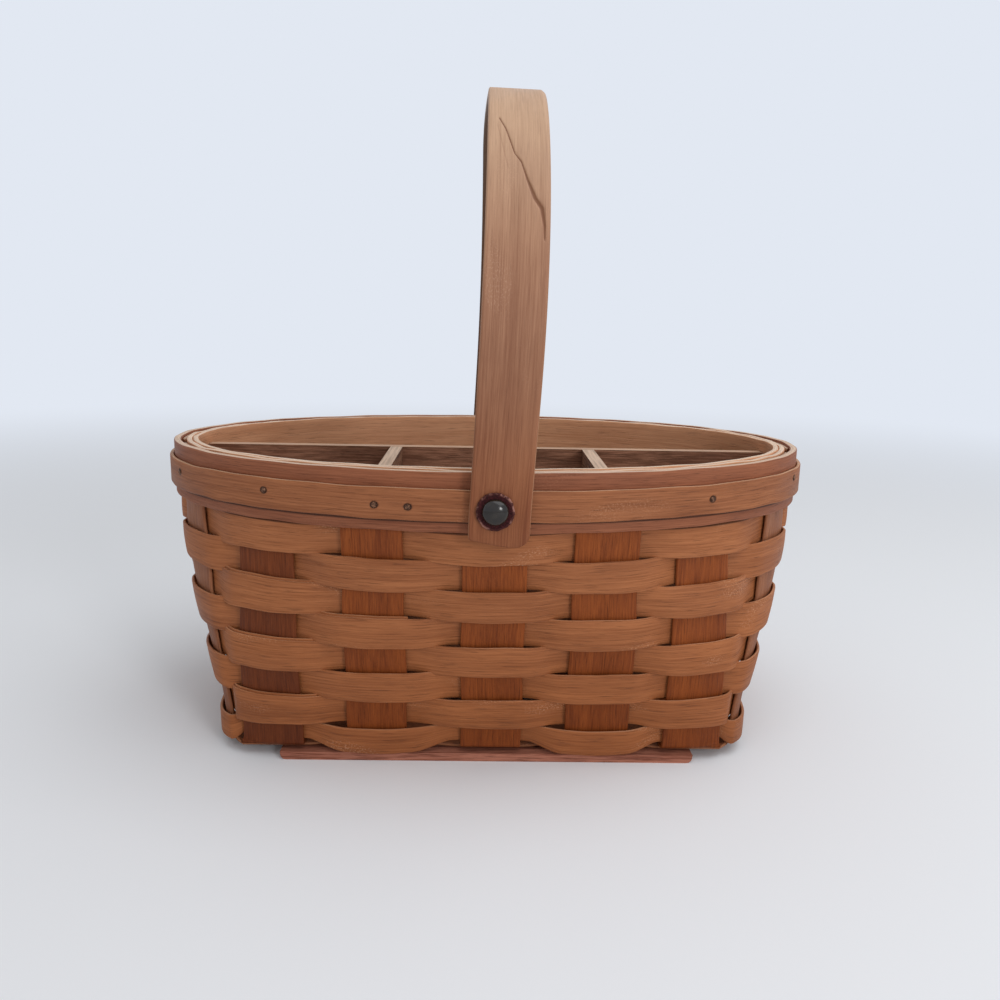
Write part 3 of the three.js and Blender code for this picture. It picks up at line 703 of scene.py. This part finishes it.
def bronze():
    """Dark smooth antique bronze."""
    s = Shader("antique_bronze")
    rub = s.noise(s.place((200, 200, 200)), 3, 0.5)
    fine = s.noise(s.place((2600, 2600, 2600)), 2, 0.6)
    colour = s.mix(s.span(rub, 0.4, 0.65), rgb(28, 22, 17), rgb(44, 36, 28))
    s.bump(fine, 0.06, 0.0002)
    return s.finish(colour, s.span(rub, 0.35, 0.7, 0.2, 0.12), specular=0.5)


def burgundy_leather():
    """Thin dark leather with a paler fuzzy cut edge."""
    s = Shader("burgundy_leather")
    pebble = s.noise(s.place((1500, 1500, 1500)), 3, 0.6)
    patch = s.noise(s.place((300, 300, 300)), 3, 0.6)
    colour = s.mix(s.span(pebble, 0.35, 0.65), rgb(38, 11, 13), rgb(66, 24, 26))
    fray = s.math("MULTIPLY", s.named("edge"), s.span(patch, 0.46, 0.62, 0.05, 0.8))
    colour = s.mix(fray, colour, rgb(170, 120, 106))
    s.bump(pebble, 0.5, 0.0003)
    return s.finish(colour, 0.8, specular=0.15)


def nail_steel():
    """Dull wire nail with brown rust."""
    s = Shader("nail_steel")
    rust = s.noise(s.place((900, 900, 900)), 3, 0.6)
    colour = s.mix(s.span(rust, 0.4, 0.6), rgb(74, 46, 30), rgb(128, 88, 62))
    s.bump(rust, 0.5, 0.0002)
    return s.finish(colour, s.span(rust, 0.4, 0.6, 0.75, 0.5), metallic=0.3)


HANDLE_WOOD = handle_wood()
BRONZE = bronze()
LEATHER = burgundy_leather()
NAIL_STEEL = nail_steel()


def dress(piece, material, slot, body, *nodes):
    """Gives a new piece its finish and body, and hides the solids it stands for. The slot is not
    used.
    """
    piece.data.materials.append(material)
    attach(piece, body)
    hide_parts(*nodes)


BEVEL_ANGLE = math.radians(35)


def refinish(node, material, bevel):
    """Keeps a solid as it is, with softened edges and a new finish."""
    piece = frame["nodes"][node]
    piece.data.materials.clear()
    piece.data.materials.append(material)
    rounding = piece.modifiers.new("rounding", "BEVEL")
    rounding.width = bevel * MM
    rounding.segments = 2
    rounding.limit_method = "ANGLE"
    rounding.angle_limit = BEVEL_ANGLE


# Splints: a stake, the base strip and the stake at the far side, as one strip
WALL_SECTIONS = 64
BEND_SECTIONS = 7
SPLINT_COLUMNS = column_places(SPLINT_SHOWN_WIDTH, 7)
BASE_STEP = 4
# Stakes that end the base strips, counted from the front left one
BACK_LEFT_STAKE = 12
LEFT_FRONT_STAKE = 15
RIGHT_FRONT_STAKE = 5
# Each stake wanders a little sideways on its way up: by how many stakes, over what height
STAKE_WOBBLE = 0.006
STAKE_WOBBLE_LENGTH = 140


def stake_sections(stake, offsets):
    """Sections of one stake from the rim down to where it bends under the base."""
    levels = np.linspace(SPLINT_TOP, BEND_START, WALL_SECTIONS)
    counts = stake + offsets * STAKE_SHARE / HALF_STAKE
    z = np.repeat(levels[:, None], len(offsets), 1)
    lean = wave(levels / STAKE_WOBBLE_LENGTH, (1, 2, 3), STAKE_WOBBLE)[:, None]
    return wall_place(counts[None, :] + lean, z, np.zeros_like(z))


def bend_sections(wall_section, base_section):
    """Sections round the bend, on a curve that the corner between the two pulls out."""
    sections = []
    for k in range(1, BEND_SECTIONS):
        share = k / BEND_SECTIONS
        corner = wall_section.copy()
        corner[:, 2] = base_section[:, 2]
        first = blend(wall_section, corner, share)
        second = blend(corner, base_section, share)
        sections.append(blend(first, second, share))
    return sections


def dense(sections, step):
    """The same run of sections with more between them, in soft curves."""
    result = []
    for a, b in zip(sections[:-1], sections[1:]):
        pieces = max(1, int(np.linalg.norm(b[0] - a[0]) / step))
        for k in range(pieces):
            share = k / pieces
            middle = blend(a, b, share)
            middle[:, 2] = blend(a[:, 2], b[:, 2], float(ease(share)))
            result.append(middle)
    return result + [sections[-1]]


def splint(name, node, start, end, base, columns, wood):
    """A whole strip: down one wall at stake start, across the base, up at stake end."""
    down = stake_sections(start, columns)
    up = stake_sections(end, -columns)[::-1]
    base = dense(base, BASE_STEP)
    sections = list(down) + bend_sections(down[-1], base[0]) + base
    sections += bend_sections(up[0], base[-1])[::-1] + list(up)
    grid = np.array(sections)
    half = edge_half(SPLINT_COLUMNS, SPLINT_SHOWN_WIDTH, SPLINT_THICK)
    piece = strip(name, grid, half, half, cut_ends=True)
    dress(piece, wood, "stake_splint", "basket", node)


def cross_splint(index, place):
    x = CROSS_SPLINT_X[index]
    wider = 1 + CROSS_SPLINT_WIDER[index] / SPLINT_WIDTH
    columns = SPLINT_COLUMNS * wider + CROSS_SPLINT_STEP[index]
    wall_y = outline_at(BEND_START)[1] - BEND_REACH
    base = []
    for k, y in enumerate(LONG_SPLINT_Y):
        z = BASE_LOW if (index + k) % 2 == 1 else BASE_HIGH
        near = -wall_y if k == 0 else y - HALF_STAKE
        far = wall_y if k == len(LONG_SPLINT_Y) - 1 else y + HALF_STAKE
        for reach in (near, far):
            base.append(np.array([(x + dx, reach, z) for dx in columns]))
    wood = DARK_STAKE_WOOD if index == 0 else STAKE_WOOD
    splint("splint_cross_" + place, "cross_splint_" + place, index, BACK_LEFT_STAKE - index,
           base, columns, wood)


def long_splint(index, place):
    y = LONG_SPLINT_Y[index]
    base = []
    for k, x in enumerate(CROSS_SPLINT_X):
        z = BASE_LOW if (index + k) % 2 == 0 else BASE_HIGH
        for reach in (x - HALF_STAKE, x + HALF_STAKE):
            base.append(np.array([(reach, y - dy, z) for dy in SPLINT_COLUMNS]))
    splint("splint_long_" + place, "long_splint_" + place, LEFT_FRONT_STAKE - index,
           RIGHT_FRONT_STAKE + index, base, SPLINT_COLUMNS, END_STAKE_WOOD)


for number, word in enumerate(("left", "left_mid", "middle", "right_mid", "right")):
    cross_splint(number, word)
for number, word in enumerate(("front", "middle", "back")):
    long_splint(number, word)

# Weaver rows, each one strip whose two ends lap behind a stake
ROW_STATIONS_PER_STAKE = 28
ROW_COLUMNS = column_places(ROW_WIDTH, 5) / ROW_WIDTH


def row_lift(count, side):
    """Distance of the strip outward from the stakes, over one and behind the next."""
    nearest = np.round(count)
    offset = np.abs(count - nearest)
    sign = side * np.where(nearest % 2 == 0, 1, -1)
    on_stake = ROW_LIFT_EDGE + (ROW_LIFT_MIDDLE - ROW_LIFT_EDGE) * np.cos(
        np.clip(offset / STAKE_SHARE, 0, 1) * math.pi / 2)
    share = np.clip((offset - STAKE_SHARE) / (1 - 2 * STAKE_SHARE), 0, 1)
    return sign * np.where(offset < STAKE_SHARE, on_stake, ROW_LIFT_EDGE * np.cos(math.pi * share))


def row_edges(index, count, lift, raised):
    """Heights of a row's lower and upper edge. The last row sags where it covers a stake."""
    centre = ROW_TOP_CENTRE - index * ROW_PITCH + raised
    away = np.abs((count - index % 2 + 1) % 2 - 1)
    from_end = np.abs((count - 2) % 8 - 4)
    corner = np.exp(-((from_end - CORNER_PLACE) / CORNER_SPREAD) ** 2)
    near_end = 1 - ease(from_end - 1)
    sag = (1 - ease(away / SAG_REACH)) * LAST_ROW_SAG if index == len(ROW_NAMES) - 1 else 0
    below = ROW_BELOW - ROW_BELOW_SHORTER * ease(away / BELOW_REACH)
    below = below + CORNER_OVERLAP * corner + sag / 2
    low = centre - below + wave(count / STAKES, (5, 9, 13, 21, 34), ROW_LOW_WAVE)
    high = centre + ROW_ABOVE - sag + wave(count / STAKES, (4, 7, 12, 19, 37), ROW_HIGH_WAVE)
    outside = ROW_FLOOR_OUTSIDE + ROW_FLOOR_AT_ENDS * near_end
    inward = np.clip(FLOOR_SHARE - lift / (2 * ROW_LIFT_EDGE), 0, 1)
    floor = blend(outside, ROW_FLOOR_INSIDE, inward ** FLOOR_POWER)
    return floor + np.logaddexp(0, (low - floor) * FLOOR_FIRMNESS) / FLOOR_FIRMNESS, high


def weaver_row(index, letter):
    """One strip woven once round the wall. Its ends thin down where they lap."""
    side = 1 if index % 2 == 0 else -1
    start, end = ROW_ENDS[letter]
    stations = int((end - start) * ROW_STATIONS_PER_STAKE)
    count = np.linspace(start, end, stations)
    lift = row_lift(count, side)
    lap = end - start - STAKES
    outer_layer = 1 - ease((count - start - lap) / LAYER_FADE)
    inner_layer = ease((count - (end - lap) + LAYER_FADE) / LAYER_FADE)
    over = np.clip(np.abs(lift) / ROW_LIFT_EDGE, 0, 1)
    low, high = row_edges(index, count, lift, inner_layer * LAYER_RISE)
    lift = lift + LAYER_SHIFT * (outer_layer - inner_layer)
    share = ROW_COLUMNS + 0.5
    z = low[:, None] + (high - low)[:, None] * share[None, :]
    cup = ROW_CUP * np.cos(math.pi * ROW_COLUMNS)[None, :] * np.sign(lift)[:, None]
    twist = wave(count / STAKES, (6, 10, 15), ROW_TWIST)[:, None] * ROW_COLUMNS[None, :]
    counts = np.repeat(count[:, None], len(share), 1)
    grid = wall_place(counts, z, lift[:, None] + cup * over[:, None] + twist)
    thick = ROW_THICK - (ROW_THICK - LAYER_THICK) * np.maximum(outer_layer, inner_layer)
    nominal = edge_half(ROW_COLUMNS * ROW_WIDTH, ROW_WIDTH, ROW_THICK, ROW_ROUND_OVER)
    half = nominal[None, :] * (thick / ROW_THICK)[:, None]
    piece = strip("weaver_strip_" + letter, grid, half, half)
    dress(piece, WEAVER_WOOD, "weaver_splint", "basket", "weaver_row_" + letter)


for number, letter in enumerate(ROW_NAMES):
    weaver_row(number, letter)

# Rim bands
BAND_STATIONS = 432
BINDING_STATIONS = 1296
TOP_WAVE = 0.5
BOTTOM_WAVE = 0.6
# Stain round a brad: its radius, the width of its soft edge, its stretch along the grain
NAIL_RING = 1.9
NAIL_RING_FADE = 0.7
NAIL_RING_STRETCH = 1.2


def nail_marks(outer):
    """Dark stain round each brad, drawn out along the grain."""
    stain = np.zeros(outer.shape[:2])
    for degrees, height in BRADS:
        angle = math.radians(degrees)
        x = (RIM_HALF_LENGTH + BINDING_GAP + BINDING_THICK) * math.cos(angle)
        y = (RIM_HALF_WIDTH + BINDING_GAP + BINDING_THICK) * math.sin(angle)
        aside = np.hypot(outer[..., 0] - x, outer[..., 1] - y)
        distance = np.hypot(aside / NAIL_RING_STRETCH, outer[..., 2] - height)
        stain = np.maximum(stain, np.clip((NAIL_RING - distance) / NAIL_RING_FADE, 0, 1))
    return stain


def band(name, half_length, half_width, thick, bottom, top, wobble, stations=BAND_STATIONS,
         inner=7, mark=None):
    """A closed oval band whose outside has the given half length and half width."""
    angle = np.arange(stations) * 2 * math.pi / stations
    turn = angle / (2 * math.pi)
    line = oval(half_length - thick / 2, half_width - thick / 2, 2, angle)
    top_line = top - wobble + wave(turn, (2, 5, 11, 19, 31), wobble * TOP_WAVE)
    bottom_line = bottom + wave(turn, (3, 6, 13, 23, 37), wobble * BOTTOM_WAVE)
    columns = column_places(top - bottom, inner)
    share = columns / (top - bottom) + 0.5
    z = bottom_line[:, None] + (top_line - bottom_line)[:, None] * share[None, :]
    flat = np.repeat(line[:, None, :], len(share), 1)
    grid = np.concatenate([flat, z[..., None]], -1)
    half = edge_half(columns, top - bottom, thick)
    return strip(name, grid, half, half, closed=True, cut_top=True, mark=mark)


outer = band("band_outer", RIM_HALF_LENGTH, RIM_HALF_WIDTH, OUTER_BAND_THICK,
             OUTER_BAND_BOTTOM, RIM_TOP, 0.3)
dress(outer, OUTER_BAND_WOOD, "rim_band", "basket", "rim_outer_band")
binding = band("band_binding", RIM_HALF_LENGTH + BINDING_GAP + BINDING_THICK,
               RIM_HALF_WIDTH + BINDING_GAP + BINDING_THICK, BINDING_THICK,
               BINDING_BOTTOM, BINDING_TOP, 0.4, BINDING_STATIONS, 19, nail_marks)
dress(binding, BINDING_WOOD, "rim_band", "basket", "rim_binding")
for ply, word in enumerate(("inside", "outside")):
    reach = INNER_PLY_THICK + ply * INNER_PLY_PITCH
    layer = band("band_inner_" + word, INNER_FACE_LENGTH + reach, INNER_FACE_WIDTH + reach,
                 INNER_PLY_THICK, INNER_BAND_BOTTOM, RIM_TOP, 0.35 + 0.25 * ply)
    dress(layer, INNER_BAND_WOOD, "inner_band", "basket", "rim_inner_band")

# Handle: one bent strip from the front foot over the top to the back foot
HANDLE_STEP = 0.8
HANDLE_COLUMNS = 59
HANDLE_CHAMFER = 1.5
CHAMFER_DEPTH_OUTSIDE = 0.75
CHAMFER_DEPTH_INSIDE = 0.35
HANDLE_ROUND = 0.9
END_TAPER = 0.12
END_TAPER_REACH = 2
FOOT_REACH = 14
# The far half stands aside: how far, how much more at the crown, and where the step
# begins and how long it is, as parts of the arch radius toward the back
FAR_SHIFT = 1.7
FAR_SHIFT_CROWN = 0.9
FAR_SHIFT_START = -0.2
FAR_SHIFT_SPAN = 0.7
# How far the foot's cut end rises, by place across the strip
FOOT_ACROSS = [-13, -12.6, -11.8, -6, -0.5, 5.5, 8.5, 10.5, 12, 12.7, 13]
FOOT_RISE = [3.9, 2.9, 2.4, 1.5, 0.5, 0, 0.3, 1.4, 2.8, 4.2, 6]
# Marks on the front leg: places by height over the pivot and across, in millimetres
GOUGE_LINE = [(159.4, -8.2), (154, -5.4), (143, -1.7), (139.6, 1), (132, 3.6), (125, 6.6),
              (121, 9.4), (114, 10.6), (109, 10.7)]
SCRATCH_LINE = [(156, -9), (137, -4.5)]
CREASE_LINE = [(-1.5, 7.6), (-14, 8)]
CRACK_LINE = [(0.5, -13), (-1.5, -9.5)]
# Each faint line with its half width and its share of the full stain
FAINT_LINES = [(SCRATCH_LINE, 0.35, 0.4), (CREASE_LINE, 0.4, 0.35), (CRACK_LINE, 0.35, 0.5)]
GOUGE_HALF_WIDTH = 0.28
GOUGE_WIDER = 0.55
GOUGE_WIDEST_HEIGHT = 123
GOUGE_WIDE_REACH = 9
GOUGE_DEPTH = 0.4
FAINT_LINE_DEPTH = 0.12


def handle_path():
    """Mid line in the plane of the arch: places y and z from the front foot upward."""
    points = []
    foot_z = PIVOT_Z - HANDLE_DROP
    leg_top = PIVOT_Z + HANDLE_DROP
    for z in np.arange(foot_z, leg_top, HANDLE_STEP):
        points.append((HANDLE_FOOT_Y, z))
    for z in np.arange(leg_top, ARCH_CENTRE_Z, HANDLE_STEP):
        share = (ARCH_CENTRE_Z - z) / (ARCH_CENTRE_Z - leg_top)
        points.append((blend(ARCH_RADIUS, HANDLE_FOOT_Y, float(ease(share))), z))
    steps = int(ARCH_RADIUS * math.pi / 2 / HANDLE_STEP)
    for k in range(steps):
        angle = math.pi / 2 * k / steps
        points.append((ARCH_RADIUS * math.cos(angle), ARCH_CENTRE_Z + ARCH_RADIUS * math.sin(angle)))
    front = np.array([(-y, z) for y, z in points])
    back = np.array(points[::-1])
    return np.concatenate([front, [(0, ARCH_CENTRE_Z + ARCH_RADIUS)], back])


def line_stain(height, across, line, half_width):
    """1 on a line drawn on the front leg, falling to 0 beside it."""
    stain = np.zeros(height.shape)
    for a, b in zip(line[:-1], line[1:]):
        run = np.array(b, float) - np.array(a, float)
        along = ((height - a[0]) * run[0] + (across - a[1]) * run[1]) / (run @ run)
        t = np.clip(along, 0, 1)
        distance = np.hypot(height - a[0] - t * run[0], across - a[1] - t * run[1])
        stain = np.maximum(stain, np.clip(1.5 - distance / half_width, 0, 1))
    return stain


def handle_marks(height, across, front):
    """The long gouge, widest in its lower half, and three fainter lines."""
    bulge = np.exp(-((height - GOUGE_WIDEST_HEIGHT) / GOUGE_WIDE_REACH) ** 2)
    gouge = line_stain(height, across, GOUGE_LINE, GOUGE_HALF_WIDTH + GOUGE_WIDER * bulge)
    faint = np.zeros(height.shape)
    for line, half_width, share in FAINT_LINES:
        faint = np.maximum(faint, share * line_stain(height, across, line, half_width))
    return gouge * front, faint * front


def handle():
    """The bent strip on its slight lean, with a rounded left edge and a chamfered right one."""
    path = handle_path()
    steps = np.linalg.norm(np.diff(path, axis=0), axis=-1)
    run = np.concatenate([[0], np.cumsum(steps)])
    reach = np.minimum(run, run[-1] - run)[:, None]
    share = np.linspace(-1, 1, HANDLE_COLUMNS)[None, :]
    across = share * HANDLE_WIDTH / 2
    height = path[:, 1:] - PIVOT_Z
    crown = np.clip(height / (ARCH_CENTRE_Z + ARCH_RADIUS - PIVOT_Z), 0, 1)
    bow = HANDLE_BOW * np.sin(math.pi * np.clip(height / HANDLE_BOW_HEIGHT, 0, 1))
    far = ease((path[:, :1] / ARCH_RADIUS - FAR_SHIFT_START) / FAR_SHIFT_SPAN)
    side = HANDLE_SIDE_STEP + across + bow - far * (FAR_SHIFT + FAR_SHIFT_CROWN * crown)
    rise = np.interp(across, FOOT_ACROSS, FOOT_RISE) * np.clip(1 - reach / FOOT_REACH, 0, 1)
    z = height + rise
    c = math.cos(HANDLE_LEAN)
    s = math.sin(HANDLE_LEAN)
    x = PIVOT_X + side * c + z * s
    up = PIVOT_Z + z * c - side * s
    y = np.repeat(path[:, :1], HANDLE_COLUMNS, 1)
    grid = np.stack([x, y, up], -1)
    width = HANDLE_WIDTH / 2
    from_left = (share + 1) * width
    from_right = (1 - share) * width
    near_left = np.clip(HANDLE_ROUND - from_left, 0, HANDLE_ROUND)
    round_left = HANDLE_ROUND - np.sqrt(np.clip(HANDLE_ROUND ** 2 - near_left ** 2, 0, 1))
    chamfer = np.clip(HANDLE_CHAMFER - from_right, 0, HANDLE_CHAMFER)
    taper = 1 - END_TAPER * np.clip(1 - reach / END_TAPER_REACH, 0, 1)
    gouge, faint = handle_marks(z, np.repeat(across, len(z), 0), path[:, :1] < 0)
    out_half = (HANDLE_THICK / 2 - round_left - CHAMFER_DEPTH_OUTSIDE * chamfer) * taper
    out_half = out_half - GOUGE_DEPTH * gouge - FAINT_LINE_DEPTH * faint
    in_half = (HANDLE_THICK / 2 - round_left - CHAMFER_DEPTH_INSIDE * chamfer) * taper
    stain = np.maximum(gouge, faint)[:, ::-1]
    piece = strip("handle_strip", grid[:, ::-1], out_half[:, ::-1], in_half[:, ::-1],
                  mark=lambda outer: stain)
    # The crown share, paler partly as painted light, and the inner face that gets painted shade.
    inside = np.tile(np.arange(2 * HANDLE_COLUMNS) >= HANDLE_COLUMNS, len(path))
    for key, values in (("crown", np.repeat(crown, 2 * HANDLE_COLUMNS)), ("inside", inside)):
        attribute = piece.data.attributes.new(key, "FLOAT", "POINT")
        attribute.data.foreach_set("value", values.astype(np.float32))
    dress(piece, HANDLE_WOOD, "handle_strip", "swing_handle", "handle")


handle()

# Rivets and leather washers
LATHE_STEPS = 72
DOME_STEPS = 16
# Height of the dome's low rim, and the washer's waviness as a share of its radius
DOME_RIM = 0.35
RAGGED_EDGE = 0.018


def leather_disc(side, word):
    """Thin washer with a ragged, slightly rounded outer edge."""
    places = np.arange(LATHE_STEPS) / LATHE_STEPS
    ragged = wave(places, (5, 9, 14, 23, 31), RAGGED_EDGE)
    outline = [
        (WASHER_HOLE_RADIUS, WASHER_START, 0),
        (WASHER_RADIUS - 0.6, WASHER_START, 0),
        (WASHER_RADIUS, WASHER_START + 0.4, 1),
        (WASHER_RADIUS, WASHER_START + 0.9, 1),
        (WASHER_RADIUS - 0.35, WASHER_START + 1.3, 1),
        (WASHER_RADIUS - 1.1, WASHER_START + WASHER_THICK, 0),
        (WASHER_HOLE_RADIUS, WASHER_START + WASHER_THICK, 0),
    ]
    washer = lathe_y("leather_disc_" + word, outline, LATHE_STEPS, side, ragged)
    dress(washer, LEATHER, "leather_washer", "basket", "leather_washer_" + word)


def rivet_cap(side, word):
    """Spread tail inside the basket, shank and low dome outside, in one."""
    outline = [(TAIL_RADIUS, TAIL_START, 0), (TAIL_RADIUS, TAIL_END, 0)]
    outline += [(SHANK_RADIUS, TAIL_END, 0), (SHANK_RADIUS, DOME_START, 0)]
    outline += [(DOME_RADIUS - 0.15, DOME_START, 0), (DOME_RADIUS, DOME_START + DOME_RIM, 0)]
    for k in range(1, DOME_STEPS):
        angle = math.pi / 2 * k / DOME_STEPS
        out = DOME_START + DOME_RIM + (DOME_HEIGHT - DOME_RIM) * math.sin(angle)
        outline.append((DOME_RADIUS * math.cos(angle), out, 0))
    dome = lathe_y("rivet_cap_" + word, outline, LATHE_STEPS, side)
    dress(dome, BRONZE, "bronze_rivet", "basket", "rivet_" + word)


for side, word in ((-1, "front"), (1, "back")):
    leather_disc(side, word)
    rivet_cap(side, word)
    refinish("rivet_burr_" + word, BRONZE, 0.25)

# Pieces that keep their solids
for number in range(1, len(BRADS) + 1):
    refinish("brad_%02d" % number, NAIL_STEEL, 0.1)
refinish("divider_long", LONG_DIVIDER_WOOD, 0.5)
refinish("divider_cross_left", CROSS_DIVIDER_WOOD, 0.5)
refinish("divider_cross_right", CROSS_DIVIDER_WOOD, 0.5)
refinish("runner_front", RUNNER_WOOD, 0.6)
refinish("runner_back", RUNNER_WOOD, 0.6)

# Floor, light and camera: places in metres, the lens and the sensor in millimetres
BACKGROUND = rgb(226, 232, 242)
PAPER = rgb(236, 239, 244)
PAPER_ROUGHNESS = 0.9
PAPER_SHEEN = 0.1
FLOOR_RADIUS = 6
FLOOR_SIDES = 64
FLOOR_FADE_START = 0.45
FLOOR_FADE_END = 1.7
SKY_STRENGTH = 0.52
LIGHT_TARGET = (0, 0, 0.1)
CAMERA_PLACE = [-0.002215, -0.4779, 0.2128]
CAMERA_YAW = 0.01995
CAMERA_PITCH = 0.208
CAMERA_ROLL = -0.01938
CAMERA_LENS = 32.4
CAMERA_SENSOR = 36


def floor():
    """Pale round floor that fades into the background colour for the camera."""
    mesh = bpy.data.meshes.new("floor")
    ring = []
    for k in range(FLOOR_SIDES):
        angle = 2 * math.pi * k / FLOOR_SIDES
        ring.append((FLOOR_RADIUS * math.cos(angle), FLOOR_RADIUS * math.sin(angle), 0))
    mesh.from_pydata(ring, [], [tuple(range(FLOOR_SIDES))])
    piece = bpy.data.objects.new("floor", mesh)
    bpy.context.scene.collection.objects.link(piece)
    s = Shader("floor_paper")
    s.finish(PAPER, PAPER_ROUGHNESS, specular=PAPER_SHEEN)
    far = s.tree.nodes.new("ShaderNodeVectorMath")
    far.operation = "LENGTH"
    s.put(far.inputs[0], s.place((1, 1, 1)))
    fade = s.span(far.outputs["Value"], FLOOR_FADE_START, FLOOR_FADE_END)
    path = s.tree.nodes.new("ShaderNodeLightPath")
    share = s.math("MULTIPLY", fade, path.outputs["Is Camera Ray"])
    glow = s.tree.nodes.new("ShaderNodeEmission")
    glow.inputs["Color"].default_value = BACKGROUND
    mixer = s.tree.nodes.new("ShaderNodeMixShader")
    s.put(mixer.inputs[0], share)
    s.put(mixer.inputs[1], s.surface.outputs["BSDF"])
    s.put(mixer.inputs[2], glow.outputs["Emission"])
    output = next(n for n in s.tree.nodes if n.type == "OUTPUT_MATERIAL")
    s.put(output.inputs["Surface"], mixer.outputs["Shader"])
    mesh.materials.append(s.material)


def world():
    """Even white light, seen as the background colour by the camera and in reflections."""
    sky = bpy.data.worlds.new("studio")
    bpy.context.scene.world = sky
    sky.use_nodes = True
    tree = sky.node_tree
    tree.nodes.clear()
    light = tree.nodes.new("ShaderNodeBackground")
    light.inputs["Color"].default_value = (1, 1, 1, 1)
    light.inputs["Strength"].default_value = SKY_STRENGTH
    seen = tree.nodes.new("ShaderNodeBackground")
    seen.inputs["Color"].default_value = BACKGROUND
    path = tree.nodes.new("ShaderNodeLightPath")
    either = tree.nodes.new("ShaderNodeMath")
    either.operation = "MAXIMUM"
    tree.links.new(path.outputs["Is Camera Ray"], either.inputs[0])
    tree.links.new(path.outputs["Is Glossy Ray"], either.inputs[1])
    any_of = tree.nodes.new("ShaderNodeMath")
    any_of.operation = "MAXIMUM"
    tree.links.new(either.outputs[0], any_of.inputs[0])
    tree.links.new(path.outputs["Is Transmission Ray"], any_of.inputs[1])
    mixer = tree.nodes.new("ShaderNodeMixShader")
    output = tree.nodes.new("ShaderNodeOutputWorld")
    tree.links.new(any_of.outputs[0], mixer.inputs[0])
    tree.links.new(light.outputs[0], mixer.inputs[1])
    tree.links.new(seen.outputs[0], mixer.inputs[2])
    tree.links.new(mixer.outputs[0], output.inputs["Surface"])


def area_light(name, place, size, power):
    """Square lamp aimed at the middle of the basket."""
    lamp = bpy.data.lights.new(name, "AREA")
    lamp.shape = "SQUARE"
    lamp.size = size
    lamp.energy = power
    piece = bpy.data.objects.new(name, lamp)
    bpy.context.scene.collection.objects.link(piece)
    aim = np.array(LIGHT_TARGET, float) - np.array(place, float)
    aim /= np.linalg.norm(aim)
    piece.location = place
    piece.rotation_euler = (math.acos(-aim[2]), 0, math.atan2(aim[1], aim[0]) - math.pi / 2)


def camera():
    """Camera turned by yaw, then pitch down, then roll, from a view along +Y."""
    sin_yaw = math.sin(CAMERA_YAW)
    cos_yaw = math.cos(CAMERA_YAW)
    flat = math.cos(CAMERA_PITCH)
    ahead = np.array([sin_yaw * flat, cos_yaw * flat, -math.sin(CAMERA_PITCH)])
    level = np.array([cos_yaw, -sin_yaw, 0])
    below = np.cross(ahead, level)
    right = math.cos(CAMERA_ROLL) * level + math.sin(CAMERA_ROLL) * below
    down = -math.sin(CAMERA_ROLL) * level + math.cos(CAMERA_ROLL) * below
    data = bpy.data.cameras.new("photo_view")
    data.sensor_width = CAMERA_SENSOR
    data.lens = CAMERA_LENS
    data.clip_start = 0.01
    piece = bpy.data.objects.new("photo_view", data)
    bpy.context.scene.collection.objects.link(piece)
    matrix = np.eye(4)
    matrix[:3, 0] = right
    matrix[:3, 1] = -down
    matrix[:3, 2] = -ahead
    matrix[:3, 3] = CAMERA_PLACE
    piece.matrix_world = Matrix(matrix.tolist())
    bpy.context.scene.camera = piece


floor()
world()
area_light("overhead", place=(0.5, -0.3, 1.4), size=1.4, power=9)
area_light("window", place=(0.7, -1.2, 0.55), size=0.3, power=4.2)
camera()
bpy.context.scene.view_settings.view_transform = "Standard"
